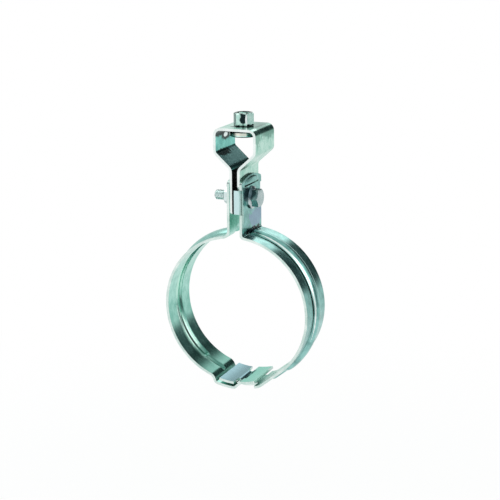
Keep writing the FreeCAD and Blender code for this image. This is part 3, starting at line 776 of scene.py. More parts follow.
@dataclass
class HookedHalf(BandHalf):
    """The right half, with the hood, the two lugs and the T-shaped head.

    The lap is the base radius where it lies over the other half, the head the one in the recess.
    It gets from the seat to the lap by a ramp and from the lap to the head by a jog, whose neck
    passes the slot. Angles are in degrees from straight down, positive on this half's own side.
    The reliefs are the cuts above and below each lug, which lets it fold.
    """

    name: str = "hooked_half_pressed"
    node: str = "hooked_band_half"
    lap: float = 61.65
    head: float = 58.2
    ramp_bend: float = 12.0
    ramp_rows: int = 22
    ramp_end: float = 15.8
    jog_slope: float = 50.0
    jog_top: float = -1.4
    neck_half: float = 10.0
    shoulder_angle: float = 14.2
    head_start: float = -1.9
    head_end: float = -13.9
    hood_low: float = 98.6
    slit: float = 1.5
    hood_half: float = 13.5
    hood_height: float = 5.0
    hood_bulge: float = 0.8
    lug_bend: float = 0.5
    lug_tip: float = -0.4
    lug_half_height: float = 9.25
    lug_drop: float = 0.8
    relief: float = 0.5
    hood_rows: int = 12
    lug_rows: int = 5
    core_columns: int = 41
    lug_columns: int = 9
    flat_columns: int = 3

    def tail(self) -> tuple[list[Base], slice]:
        """Lay the ramp, the neck and the head along the base face.

        Each run has its own number of rows, which lie closer where the strip bends.

        Returns:
            The base points with their normals, and the rows of the neck.
        """
        bend_centre = on_ring(self.lap - self.ramp_bend, self.ramp_end)
        start = self.ramp_start()
        ramp = RoundRun(bend_centre, self.ramp_bend, start - 90, self.ramp_end - 90)
        slope = StraightRun(on_ring(self.seat, start), ramp.at(start - 90)[0])
        points = slope.sample(self.ramp_rows)
        points += ramp.sample(7)
        points += self.arc(self.lap, self.ramp_end, self.shoulder_angle).sample(2)
        neck = len(points)
        jog = Step(self.lap - self.head, self.jog_slope)
        jog_foot = self.jog_top + jog.angle(self.seat + self.thickness)
        points += self.arc(self.lap, self.shoulder_angle, jog_foot).sample(9)
        for run, count in zip(jog.inward(self.head, jog_foot, self.jog_top), (5, 3, 6)):
            points += run.sample(count)
        points += self.arc(self.head, self.jog_top, self.head_start).sample(1)
        head = len(points)
        last = self.arc(self.head, self.head_start, self.head_end)
        return points + last.sample(9) + [last.at(last.end)], slice(neck, head)

    def ramp_start(self) -> float:
        """Return the angle at which the strip leaves the seat, from the ramp's bend."""
        reach = (self.seat - self.ramp_bend) / (self.lap - self.ramp_bend)
        return self.ramp_end + math.degrees(math.acos(reach))

    def hood(self, y: float, z: float, at_face: float) -> float:
        """Work out how far the hood pushes the ear outward: half an ellipsoid.

        Args:
            y: the distance from the band's middle.
            z: the height.
            at_face: zero for the outer face, one for the inner, which is smaller.

        Returns:
            The push in millimetres.
        """
        width = self.hood_half - at_face
        height = self.hood_height - at_face
        left = 1 - (y / width) ** 2 - ((z - self.hood_low) / height) ** 2
        return self.hood_bulge * math.sqrt(max(left, 0.0))

    def levels(self) -> list[float]:
        """List the heights of the ear's rows from the slit down to the lower relief.

        Returns:
            The slit's edges, the upper relief, the lug's rows and the lower relief.
        """
        middle = self.bolt_height - self.lug_drop
        low, high = middle - self.lug_half_height, middle + self.lug_half_height
        return [self.hood_low, self.hood_low - self.slit, high + self.relief, high,
                *between(high, low, self.lug_rows)[1:], low, low - self.relief]

    def ear_rows(self, y: float, at_face: float) -> list[Pair]:
        """Go down the ear, over the hood, the slit and the lugs' rows.

        Args:
            y: the distance from the band's middle.
            at_face: zero for the outer face, one for the inner.

        Returns:
            The points, from the top on.
        """
        base = self.ear_face - self.thickness * at_face
        upper = [(base + self.hood(y, z, at_face), z)
                 for z in between(self.ear_top(y), self.hood_low, self.hood_rows)]
        levels = self.levels()
        lines = upper + [(base + self.hood(y, levels[0], at_face), levels[0])]
        lines += [(base, z) for z in levels[1:]]
        foot = self.foot(y, at_face)[0]
        return lines + [(base, z) for z in between(levels[-1], foot, 7)[1:]]

    def lug_line(self, at_face: float) -> list[Pair]:
        """Go along a lug from the ear round its bend to its tip.

        Args:
            at_face: zero for the outer face, one for the inner.

        Returns:
            The points as x and the distance from the middle.
        """
        centre = (self.leg_face - self.lug_bend, self.half_width - self.thickness - self.lug_bend)
        radius = self.lug_bend + self.thickness * (1 - at_face)
        steps = self.lug_columns - self.flat_columns
        arc = [(centre[0] + radius * math.cos(t), centre[1] + radius * math.sin(t))
               for t in np.linspace(0, math.pi / 2, steps + 1)[1:]]
        tip = np.linspace(arc[-1][0], self.lug_tip, self.flat_columns + 1)[1:]
        return arc + [(x, arc[-1][1]) for x in tip]

    def build(self) -> bpy.types.Object:
        """Build the half's mesh.

        Returns:
            The new object.
        """
        inset = self.half_width - self.thickness - self.lug_bend
        core = {*np.linspace(-inset, inset, self.core_columns).round(4)}
        for place in (self.neck_half, self.hood_half, inset, *self.creases):
            core |= {-place, place}
        flat = [min(inset + (k + 1) * (self.half_width - inset) / self.flat_columns,
                    self.half_width) for k in range(self.lug_columns)]
        columns = [-y for y in flat[::-1]] + sorted(core) + flat
        tail, neck = self.tail()
        outer, inner = self.assemble(columns, tail, self.ramp_start(), self.ear_rows)
        keep = np.ones((outer.shape[0] - 1, outer.shape[1] - 1), bool)
        self.bend_lugs(outer, inner, keep)
        away = np.abs(middles(columns))
        keep[self.hood_rows, away < self.hood_half] = False
        row = outer.shape[0] - len(tail)
        keep[row + neck.start:row + neck.stop, away > self.neck_half] = False
        return self.complete(outer, inner, keep, 1)

    def bend_lugs(self, outer: np.ndarray, inner: np.ndarray, keep: np.ndarray) -> None:
        """Turn the outermost columns into the two lugs and drop them elsewhere.

        Args:
            outer: the outer grid, changed in place.
            inner: the inner grid, changed in place.
            keep: the cells that are metal, changed in place.
        """
        # The slit's two edges and the upper relief are the three levels above the lug.
        first = self.hood_rows + 3
        last = first + self.lug_rows
        extra = self.lug_columns
        count = outer.shape[1]
        keep[:, :extra - self.flat_columns] = False
        keep[:, count - 1 - extra + self.flat_columns:] = False
        for at_face, grid in ((0.0, outer), (1.0, inner)):
            line = self.lug_line(at_face)
            for row in range(first, last + 1):
                for k, (x, y) in enumerate(line):
                    grid[row, extra - 1 - k, :2] = (x, -y)
                    grid[row, count - extra + k, :2] = (x, y)
        keep[first:last, :extra] = True
        keep[first:last, count - 1 - extra:] = True
        for row in (first - 1, last):
            keep[row, :extra] = False
            keep[row, count - 1 - extra:] = False


@dataclass
class SlottedHalf(BandHalf):
    """The left half, with the recess, the slotted step and the end tab.

    The lip steps out from the seat into the recess and the back step returns to it under the
    tab. Angles are in degrees from straight down. The slot runs past the back step by the
    overrun on both sides. The flank is a column of the mesh beside the sheared edge.
    """

    name: str = "slotted_half_pressed"
    node: str = "slotted_band_half"
    bend: float = 4.5
    recess: float = 62.25
    lip: Step = Step(4.6, 60.0, lip_bend=5.0)
    back: Step = Step(4.6, 42.0)
    recess_start: float = 15.2
    tab_start: float = 4.3
    tab_end: float = 15.6
    slot_half: float = 10.6
    slot_overrun: float = 1.0
    rib: Bead = Bead(2.0, 3.8, 15.2)
    flank: float = 17.5
    ear_count: int = 14
    column_count: int = 47

    def tail(self) -> tuple[list[Base], slice]:
        """Lay the recess, the step back up and the end tab along the base face.

        Each run has its own number of rows, which lie closer where the strip bends.

        Returns:
            The base points with their normals, and the rows that the slot takes.
        """
        top = -self.tab_start
        foot = top + self.back.angle(self.seat + self.thickness)
        points: list[Base] = []
        for run, count in zip(self.lip.outward(self.seat, self.ring_end(), self.recess_start),
                              (12, 3, 5)):
            points += run.sample(count)
        slot_start = foot + self.slot_overrun
        points += self.arc(self.recess, self.recess_start, slot_start).sample(9)
        start = len(points)
        points += self.arc(self.recess, slot_start, foot).sample(1)
        for run, count in zip(self.back.inward(self.seat, foot, top), (5, 3, 7)):
            points += run.sample(count)
        slot_end = top - self.slot_overrun
        points += self.arc(self.seat, top, slot_end).sample(1)
        end = len(points)
        last = self.arc(self.seat, slot_end, -self.tab_end)
        return points + last.sample(8) + [last.at(last.end)], slice(start, end)

    def ring_end(self) -> float:
        """Return the angle at which the strip leaves the seat, from the recess's lip."""
        return self.recess_start + self.lip.angle(self.seat + self.thickness)

    def tail_points(self, y: float, at_face: float, tail: list[Base]) -> list[Pair]:
        """Go along the joint's end, with the rib run out over the lip.

        Args:
            y: the distance from the band's middle.
            at_face: zero for the outer face, one for the inner.
            tail: base points and normals of the joint's end.

        Returns:
            The points, from the ring on.
        """
        points = []
        level = self.seat + self.thickness * (1 - at_face)
        for (x, z), (nx, nz) in tail:
            off = self.thickness * (1 - at_face)
            x, z = x + nx * off, z + nz * off
            angle = math.degrees(math.atan2(x, -z))
            radius = math.hypot(x, z)
            push = 0.0
            if angle > self.recess_start:
                push = max(0.0, self.push(y, angle, at_face) - (radius - level))
            points.append((x * (1 + push / radius), z * (1 + push / radius)))
        return points

    def ear_rows(self, y: float, at_face: float) -> list[Pair]:
        """Go down the ear on one face.

        Args:
            y: the distance from the band's middle.
            at_face: zero for the outer face, one for the inner.

        Returns:
            The points, from the top on.
        """
        base = self.ear_face - self.thickness * at_face
        foot = self.foot(y, at_face)[0]
        return [(base, z) for z in between(self.ear_top(y), foot, self.ear_count)]

    def build(self) -> bpy.types.Object:
        """Build the half's mesh.

        Returns:
            The new object.
        """
        places = {*np.linspace(-self.half_width, self.half_width, self.column_count).round(4)}
        for place in (self.slot_half, self.flank, *self.creases):
            places |= {-place, place}
        columns = sorted(places)
        tail, slot = self.tail()
        outer, inner = self.assemble(columns, tail, self.ring_end(), self.ear_rows)
        keep = np.ones((outer.shape[0] - 1, outer.shape[1] - 1), bool)
        row = outer.shape[0] - len(tail)
        slotted = np.abs(middles(columns)) < self.slot_half
        keep[row + slot.start:row + slot.stop, slotted] = False
        # The rows were laid for the right side and are mirrored to the left.
        outer[..., 0] *= -1
        inner[..., 0] *= -1
        return self.complete(outer, inner, keep, -1)


@dataclass
class TurnbuckleStrap:
    """The folded strap: flat top, two walls, two inclines and two parallel legs.

    The right leg is narrowed below the narrow height, to make room for the lugs, and widens up
    to the wide one. The corner rises are the heights of rows in a leg's rounded corners.
    """

    name: str = "strap_folded"
    node: str = "turnbuckle_strap"
    thickness: float = 2.0
    half_span: float = 17.4
    top: float = 142.3
    shoulder: float = 122.8
    leg_head: float = 110.8
    leg_face: float = 4.2
    leg_end: float = 75.9
    narrow: float = 95.2
    wide: float = 98.9
    half_top: float = 18.5
    half_leg: float = 16.8
    corner: float = 2.5
    neck_bend: float = 4.5
    incline_bend: float = 3.0
    top_bend: float = 3.5
    bolt_height: float = BOLT_HEIGHT
    hole_radius: float = 4.5
    plate_hole: float = 6.1
    drill_reach: float = 5.0
    edge_radius: float = 0.42
    columns: int = 15
    fold_rows: int = 7
    run_rows: int = 7
    corner_rises: tuple[float, ...] = (0, 0.04, 0.12, 0.3, 0.6, 1.0, 1.6, 2.5)

    def folds(self) -> list[tuple[Pair, float]]:
        """List the corners of the outer face from the right leg's end to the left one's.

        Returns:
            Each corner with the radius inside its fold, negative where the strip folds outward.
        """
        right = [((self.leg_face, self.leg_end), 0.0),
                 ((self.leg_face, self.leg_head), -self.neck_bend),
                 ((self.half_span, self.shoulder), self.incline_bend),
                 ((self.half_span, self.top), self.top_bend)]
        return right + [((-x, z), bend) for (x, z), bend in reversed(right)]

    def lines(self) -> tuple[list[Pair], list[Pair]]:
        """Lay out both faces of the strap along its length.

        Returns:
            The matching (x, z) points of the outer and the inner face.
        """
        folds = self.folds()
        outer: list[Pair] = []
        inner: list[Pair] = []
        here = Vector(folds[0][0])
        for index in range(1, len(folds)):
            corner = Vector(folds[index][0])
            way = (corner - Vector(folds[index - 1][0])).normalized()
            normal = Vector((-way.y, way.x))
            if index == len(folds) - 1:
                end, reach = corner, 0.0
            else:
                next_way = (Vector(folds[index + 1][0]) - corner).normalized()
                turn = way.angle_signed(next_way) * -1
                bend = folds[index][1]
                near_radius = bend + self.thickness if bend > 0 else -bend
                reach = near_radius * math.tan(abs(turn) / 2)
                end = corner - way * reach
            self.straight(here, end, normal, outer, inner)
            if index == len(folds) - 1:
                break
            side = 1 if bend > 0 else -1
            centre = end + normal * near_radius * side
            for step in range(self.fold_rows):
                spin = Matrix.Rotation(turn * step / self.fold_rows, 2)
                spun = spin @ normal
                face = centre - spun * near_radius * side
                outer.append(tuple(face))
                inner.append(tuple(face + spun * self.thickness))
            here = corner + next_way * reach
        return outer, inner

    def straight(self, start: Vector, end: Vector, normal: Vector, outer: list[Pair],
                 inner: list[Pair]) -> None:
        """Add the rows of a straight run, on a leg at the heights where its width changes.

        Args:
            start: the run's start on the outer face, as (x, z).
            end: its end, which the fold that follows adds itself.
            normal: the way from the outer to the inner face.
            outer: the outer face's points, added to.
            inner: the inner face's points, added to.
        """
        stops = between(0, 1, self.run_rows)
        # A Vector keeps single precision, so the leg's end is known to a hundredth.
        if min(start.y, end.y) < self.leg_end + 0.01:
            heights = [self.leg_end + rise for rise in self.corner_rises]
            heights += list(np.linspace(heights[-1], self.narrow, 6))[1:]
            heights += list(np.linspace(self.narrow, self.wide, 9))[1:]
            heights += list(np.linspace(self.wide, max(start.y, end.y), 4))[1:]
            stops = sorted((z - start.y) / (end.y - start.y) for z in heights)
            if end.y > start.y:
                stops.pop()
        for t in stops:
            face = start + (end - start) * t
            outer.append(tuple(face))
            inner.append(tuple(face + normal * self.thickness))

    def half_width(self, x: float, z: float) -> float:
        """Work out half the strap's width at a point of its outer face.

        Args:
            x: the distance from the middle between the legs.
            z: the height.

        Returns:
            Half the width, less on the right leg and in both legs' rounded corners.
        """
        share = min(1.0, max(0.0, (z - self.narrow) / (self.wide - self.narrow)))
        share = share * share * (3 - 2 * share) if x > 0 else 1.0
        width = self.half_leg + (self.half_top - self.half_leg) * share
        rise = z - self.leg_end
        if rise < self.corner:
            left = max(self.corner ** 2 - (self.corner - rise) ** 2, 0.0)
            width -= self.corner - math.sqrt(left)
        return width

    def build(self) -> bpy.types.Object:
        """Build the strap's mesh.

        Returns:
            The new object.
        """
        outer_line, inner_line = self.lines()
        shares = np.linspace(-1, 1, self.columns)
        grids = []
        for line in (outer_line, inner_line):
            grids.append(np.array([[(x, share * self.half_width(*w), z) for share in shares]
                                   for (x, z), w in zip(line, outer_line)]))
        keep = np.ones((len(outer_line) - 1, len(shares) - 1), bool)
        piece = new_piece(self.name, *thick_sheet(grids[0], grids[1], keep))
        reach = self.drill_reach
        drill(piece, self.plate_hole, Vector((0, 0, self.top - reach)),
              Vector((0, 0, self.top + reach)))
        drill(piece, self.hole_radius, Vector((-2 * reach, 0, self.bolt_height)),
              Vector((2 * reach, 0, self.bolt_height)))
        soften_edges(piece, self.edge_radius, 3)
        return piece


# Turned pieces.


Ring = Callable[[float], Pair]


def hexagon_radius(flats: float, angle: float, turn: float = 0.0) -> float:
    """Find the distance from a hexagon's middle to its side, with slightly rounded corners.

    Args:
        flats: the width across flats.
        angle: the way to look, in radians.
        turn: the angle of a flat, in degrees.

    Returns:
        The distance.
    """
    local = (math.degrees(angle) - turn + 30) % 60 - 30
    side = flats / 2 / math.cos(math.radians(local))
    return min(side, flats / math.sqrt(3) * CORNER_SHARE)


def turned_surface(rings: Sequence[Ring], axis: Matrix, columns: int) -> Surface:
    """Join rings of points about an axis into a surface.

    Args:
        rings: for each ring, a function from the angle to (radius, distance along the axis).
        axis: the matrix that turns +Z and the origin onto the axis.
        columns: how many points each ring has.

    Returns:
        The points and faces.
    """
    points: list[Vector] = []
    for ring in rings:
        for column in range(columns):
            angle = 2 * math.pi * column / columns
            radius, along = ring(angle)
            points.append(axis @ Vector((radius * math.cos(angle), radius * math.sin(angle),
                                         along)))
    faces = []
    for row in range(len(rings) - 1):
        for column in range(columns):
            beside = (column + 1) % columns
            a, b = row * columns + column, row * columns + beside
            faces.append((a, b, b + columns, a + columns))
    return points, faces


def round_ring(radius: float, along: float) -> Ring:
    """Return a plain round ring."""
    return lambda _: (radius, along)


def hexagon_rings(flats: float, low: float, high: float, turn: float, ratio: float = 0.96,
                  both_ends: bool = False) -> list[Ring]:
    """Return the rings of a hexagon from its lower face up to its chamfered upper one.

    Args:
        flats: the width across flats.
        low: the lower face.
        high: the upper face.
        turn: the angle of a flat, in degrees.
        ratio: the round face's width as a share of the flats.
        both_ends: whether the lower face is chamfered as well.

    Returns:
        The rings, without the faces' own inner edges.
    """
    face = flats * ratio / 2
    # The usual chamfer of nuts and bolt heads is 30 degrees.
    slope = math.tan(math.radians(30))

    def side(angle: float) -> float:
        """Return the hexagon's radius."""
        return hexagon_radius(flats, angle, turn)

    rings: list[Ring] = []
    if both_ends:
        rings.append(round_ring(face, low))
        rings.append(lambda a: (side(a), low + (side(a) - face) * slope))
    else:
        rings.append(lambda a: (side(a), low))
    rings.append(lambda a: (side(a), (low + high) / 2))
    rings.append(lambda a: (side(a), high - (side(a) - face) * slope))
    rings.append(round_ring(face, high))
    return rings


@dataclass(frozen=True)
class Thread:
    """A metric thread, cut outside a shank or inside a bore.

    The pitch, the two radii, the two ends along the axis and the chamfer at both ends are in
    millimetres.
    """

    pitch: float
    major: float
    minor: float
    low: float
    high: float
    chamfer: float
    inside: bool = False

    def radius(self, place: int) -> float:
        """Return the radius at one of a pitch's four places, of which two are the root."""
        return self.minor if place in (0, 1) else self.major

    def surface(self, axis: Matrix, columns: int = 48) -> Surface:
        """Build the helical surface between its two ends.

        Args:
            axis: the matrix that turns +Z and the origin onto the axis.
            columns: how many points go round.

        Returns:
            The points and faces.
        """
        # The root takes a quarter of the pitch, each flank five sixteenths, the crest an eighth.
        shares = (0.0, 0.25, 0.5625, 0.6875)
        # One and a half turns beyond each end are pressed flat into it.
        spare = 1.5
        turns = math.ceil((self.high - self.low) / self.pitch) + int(2 * spare)
        rows = turns * len(shares)
        points: list[Vector] = []
        for row in range(rows):
            whole, place = divmod(row, len(shares))
            for column in range(columns):
                share = column / columns
                along = self.low + self.pitch * (whole + shares[place] + share - spare)
                along = min(max(along, self.low), self.high)
                edge = min(along - self.low, self.high - along)
                radius = self.radius(place)
                if self.inside:
                    radius = max(radius, self.major + self.chamfer - edge)
                else:
                    radius = min(radius, self.major - self.chamfer + edge)
                angle = 2 * math.pi * share
                points.append(axis @ Vector((radius * math.cos(angle), radius * math.sin(angle),
                                             along)))
        faces = []
        for row in range(rows - 1):
            for column in range(columns):
                a = row * columns + column
                d = a + columns
                if column < columns - 1:
                    faces.append((a, a + 1, d + 1, d))
                elif row + len(shares) + 1 < rows:
                    b = (row + len(shares)) * columns
                    faces.append((a, b, b + columns, d))
        return points, faces


def joined(parts: Iterable[Surface]) -> Surface:
    """Put several surfaces together.

    Args:
        parts: the surfaces.

    Returns:
        The points and faces of all.
    """
    points: list[Vector] = []
    faces: list[Face] = []
    for more_points, more_faces in parts:
        shift = len(points)
        points += more_points
        faces += [tuple(i + shift for i in face) for face in more_faces]
    return points, faces


def axis_matrix(base: Vector, direction: Vector) -> Matrix:
    """Return the matrix that carries +Z from the origin onto an axis through a base point."""
    return Matrix.Translation(base) @ direction.to_track_quat("Z", "Y").to_matrix().to_4x4()


@dataclass
class SwivelNut:
    """The turned nut in the strap's top: hexagon, neck and flange, tapped M10."""

    name: str = "swivel_nut_turned"
    node: str = "swivel_nut"
    flats: float = 14.0
    turn: float = 38.0
    low: float = 134.3
    flange_top: float = 140.3
    hexagon_low: float = 142.6
    high: float = 152.3
    neck: float = 6.0
    flange: float = 11.0
    flange_edge: float = 1.2
    thread_major: float = 5.0
    thread_minor: float = 4.25
    pitch: float = 1.5
    chamfer: float = 0.1
    edge_radius: float = 0.16
    columns: int = 144

    def build(self) -> bpy.types.Object:
        """Build the nut's mesh.

        Returns:
            The new object.
        """
        mouth = self.thread_major + self.chamfer
        rings: list[Ring] = [round_ring(mouth, self.low)]
        edge = self.flange_edge
        quarter = np.linspace(0, math.pi / 2, 6)
        for t in quarter:
            rings.append(round_ring(self.flange - edge + edge * math.sin(t),
                                    self.low + edge - edge * math.cos(t)))
        for t in quarter:
            rings.append(round_ring(self.flange - edge + edge * math.cos(t),
                                    self.flange_top - edge + edge * math.sin(t)))
        rings += [round_ring(self.neck, self.flange_top), round_ring(self.neck, self.hexagon_low)]
        rings += hexagon_rings(self.flats, self.hexagon_low, self.high, self.turn)
        rings.append(round_ring(mouth, self.high))
        thread = Thread(self.pitch, self.thread_major, self.thread_minor, self.low, self.high,
                        self.chamfer, inside=True)
        upright = Matrix.Identity(4)
        piece = new_piece(self.name, *joined([turned_surface(rings, upright, self.columns),
                                              thread.surface(upright)]))
        soften_edges(piece, self.edge_radius)
        return piece


@dataclass
class ClampBolt:
    """The M8 flange bolt, threaded along its whole shank.

    Distances along the axis count from the seat on the ear. The foot is the chamfer below the
    flange, the rim the one above it, and the dish the shallow hollow in the head's face.
    """

    name: str = "bolt_threaded"
    node: str = "clamp_bolt"
    seat: float = 6.2
    height: float = BOLT_HEIGHT
    flats: float = 13.0
    head: float = 7.7
    flange: float = 8.95
    flange_edge: float = 1.2
    flange_slope: float = 25.0
    turn: float = 30.0
    length: float = 30.0
    major: float = 3.97
    minor: float = 3.32
    pitch: float = 1.25
    point: float = 0.97
    foot: float = 0.15
    rim_height: float = 0.3
    rim_width: float = 0.25
    dish: float = 0.05
    dish_share: float = 0.47
    edge_radius: float = 0.14
    head_columns: int = 72
    shank_columns: int = 48

    def build(self) -> bpy.types.Object:
        """Build the bolt's mesh.

        Returns:
            The new object.
        """
        seat = Vector((self.seat, 0, self.height))
        head_axis = axis_matrix(seat, Vector((1, 0, 0)))
        rings: list[Ring] = [round_ring(POINT, 0.0), round_ring(self.flange - self.foot, 0.0),
                             round_ring(self.flange, self.foot),
                             round_ring(self.flange, self.flange_edge - self.rim_height),
                             round_ring(self.flange - self.rim_width, self.flange_edge)]
        slope = math.tan(math.radians(self.flange_slope))

        def cone(angle: float) -> Pair:
            """Return where the flange's cone meets the hexagon."""
            side = hexagon_radius(self.flats, angle, self.turn)
            return side, self.flange_edge + (self.flange - side) * slope

        rings.append(cone)
        rings += hexagon_rings(self.flats, self.head / 2, self.head, self.turn)[1:]
        rings.append(round_ring(self.flats * self.dish_share, self.head - self.dish))
        rings.append(round_ring(POINT, self.head - self.dish))
        shank_axis = axis_matrix(seat, Vector((-1, 0, 0)))
        thread = Thread(self.pitch, self.major, self.minor, 0.0, self.length, self.point)
        tip: list[Ring] = [round_ring(self.major - self.point, self.length),
                           round_ring(POINT, self.length)]
        piece = new_piece(self.name, *joined([
            turned_surface(rings, head_axis, self.head_columns),
            thread.surface(shank_axis, self.shank_columns),
            turned_surface(tip, shank_axis, self.shank_columns)]))
        soften_edges(piece, self.edge_radius)
        return piece


@dataclass
class ClampNut:
    """The M8 hexagon nut, chamfered on both faces."""

    name: str = "nut_chamfered"
    node: str = "clamp_nut"
    seat: float = -8.2
    height: float = BOLT_HEIGHT
    flats: float = 13.0
    thick: float = 6.5
    bore: float = 4.05
    mouth: float = 0.5
    edge_radius: float = 0.14
    columns: int = 72

    def build(self) -> bpy.types.Object:
        """Build the nut's mesh.

        Returns:
            The new object.
        """
        axis = axis_matrix(Vector((self.seat, 0, self.height)), Vector((-1, 0, 0)))
        rings: list[Ring] = [round_ring(self.bore, self.mouth),
                             round_ring(self.bore + self.mouth, 0.0)]
        rings += hexagon_rings(self.flats, 0.0, self.thick, 0.0, both_ends=True)
        rings += [round_ring(self.bore + self.mouth, self.thick),
                  round_ring(self.bore, self.thick - self.mouth),
                  round_ring(self.bore, self.mouth)]
        piece = new_piece(self.name, *turned_surface(rings, axis, self.columns))
        soften_edges(piece, self.edge_radius)
        return piece


@dataclass
class SpringWasher:
    """The split spring washer, pressed flat between the ear and the nut.

    Its gap stands upright, and its two ends are sheared at a slant.
    """

    name: str = "washer_split"
    node: str = "spring_washer"
    face: float = -6.2
    height: float = BOLT_HEIGHT
    thick: float = 2.0
    radius: float = 7.5
    bore: float = 4.15
    gap_deg: float = 14.0
    slant_deg: float = 9.0
    edge_radius: float = 0.2
    columns: int = 64

    def build(self) -> bpy.types.Object:
        """Build the washer's mesh: a bar bent round, with its two slanting ends.

        Returns:
            The new object.
        """
        axis = axis_matrix(Vector((self.face, 0, self.height)), Vector((-1, 0, 0)))
        points: list[Vector] = []
        corners = ((self.bore, 0.0), (self.radius, 0.0), (self.radius, self.thick),
                   (self.bore, self.thick))
        for column in range(self.columns + 1):
            share = column / self.columns
            for radius, along in corners:
                slant = self.slant_deg * (along / self.thick - 0.5)
                angle = math.radians(90 + self.gap_deg / 2 + (360 - self.gap_deg) * share + slant)
                points.append(axis @ Vector((radius * math.cos(angle), radius * math.sin(angle),
                                             along)))
        faces: list[Face] = [(0, 1, 2, 3), tuple(4 * self.columns + i for i in (3, 2, 1, 0))]
        for column in range(self.columns):
            for i in range(4):
                a, b = 4 * column + i, 4 * column + (i + 1) % 4
                faces.append((a, b, b + 4, a + 4))
        piece = new_piece(self.name, points, faces)
        soften_edges(piece, self.edge_radius)
        return piece


# The studio.


@dataclass(frozen=True)
class Card:
    """A soft-edged card in the room, pale or dark, by the direction that it lies in.

    It is whole within the full angle from that direction and gone beyond the faded one. Its
    level is linear, and one is white.
    """

    direction: Triple
    full_deg: float
    faded_deg: float
    level: Triple

    def hang(self, tree: bpy.types.NodeTree, place: bpy.types.NodeSocket,
             behind: bpy.types.NodeSocket) -> bpy.types.NodeSocket:
        """Mix the card over what lies behind it.

        Args:
            tree: the world's node tree.
            place: the direction of view.
            behind: the colour of the room behind the card.

        Returns:
            The colour of the room with the card.
        """
        along = add_node(tree, "ShaderNodeVectorMath",
                         {"operation": "DOT_PRODUCT", 1: Vector(self.direction).normalized()},
                         {0: place})
        share = add_node(tree, "ShaderNodeMapRange",
                         {"interpolation_type": "SMOOTHSTEP",
                          "From Min": math.cos(math.radians(self.faded_deg)),
                          "From Max": math.cos(math.radians(self.full_deg))},
                         {"Value": along.outputs["Value"]})
        mixed = add_node(tree, "ShaderNodeMix", {"data_type": "RGBA", 7: (*self.level, 1)},
                         {0: share.outputs["Result"], 6: behind})
        return mixed.outputs[2]


@dataclass(frozen=True)
class Lamp:
    """A square soft lamp: its place and its side in metres, and its power."""

    name: str
    place: Triple
    size: float
    watts: float

    def hang(self, aim: Triple) -> None:
        """Hang the lamp in the scene.

        Args:
            aim: the point in metres that it shines at.
        """
        data = bpy.data.lights.new(self.name, "AREA")
        data.size = self.size
        data.energy = self.watts
        lamp = bpy.data.objects.new(self.name, data)
        lamp.location = self.place
        way = Vector(aim) - lamp.location
        lamp.rotation_euler = way.to_track_quat("-Z", "Y").to_euler()
        bpy.context.scene.collection.objects.link(lamp)


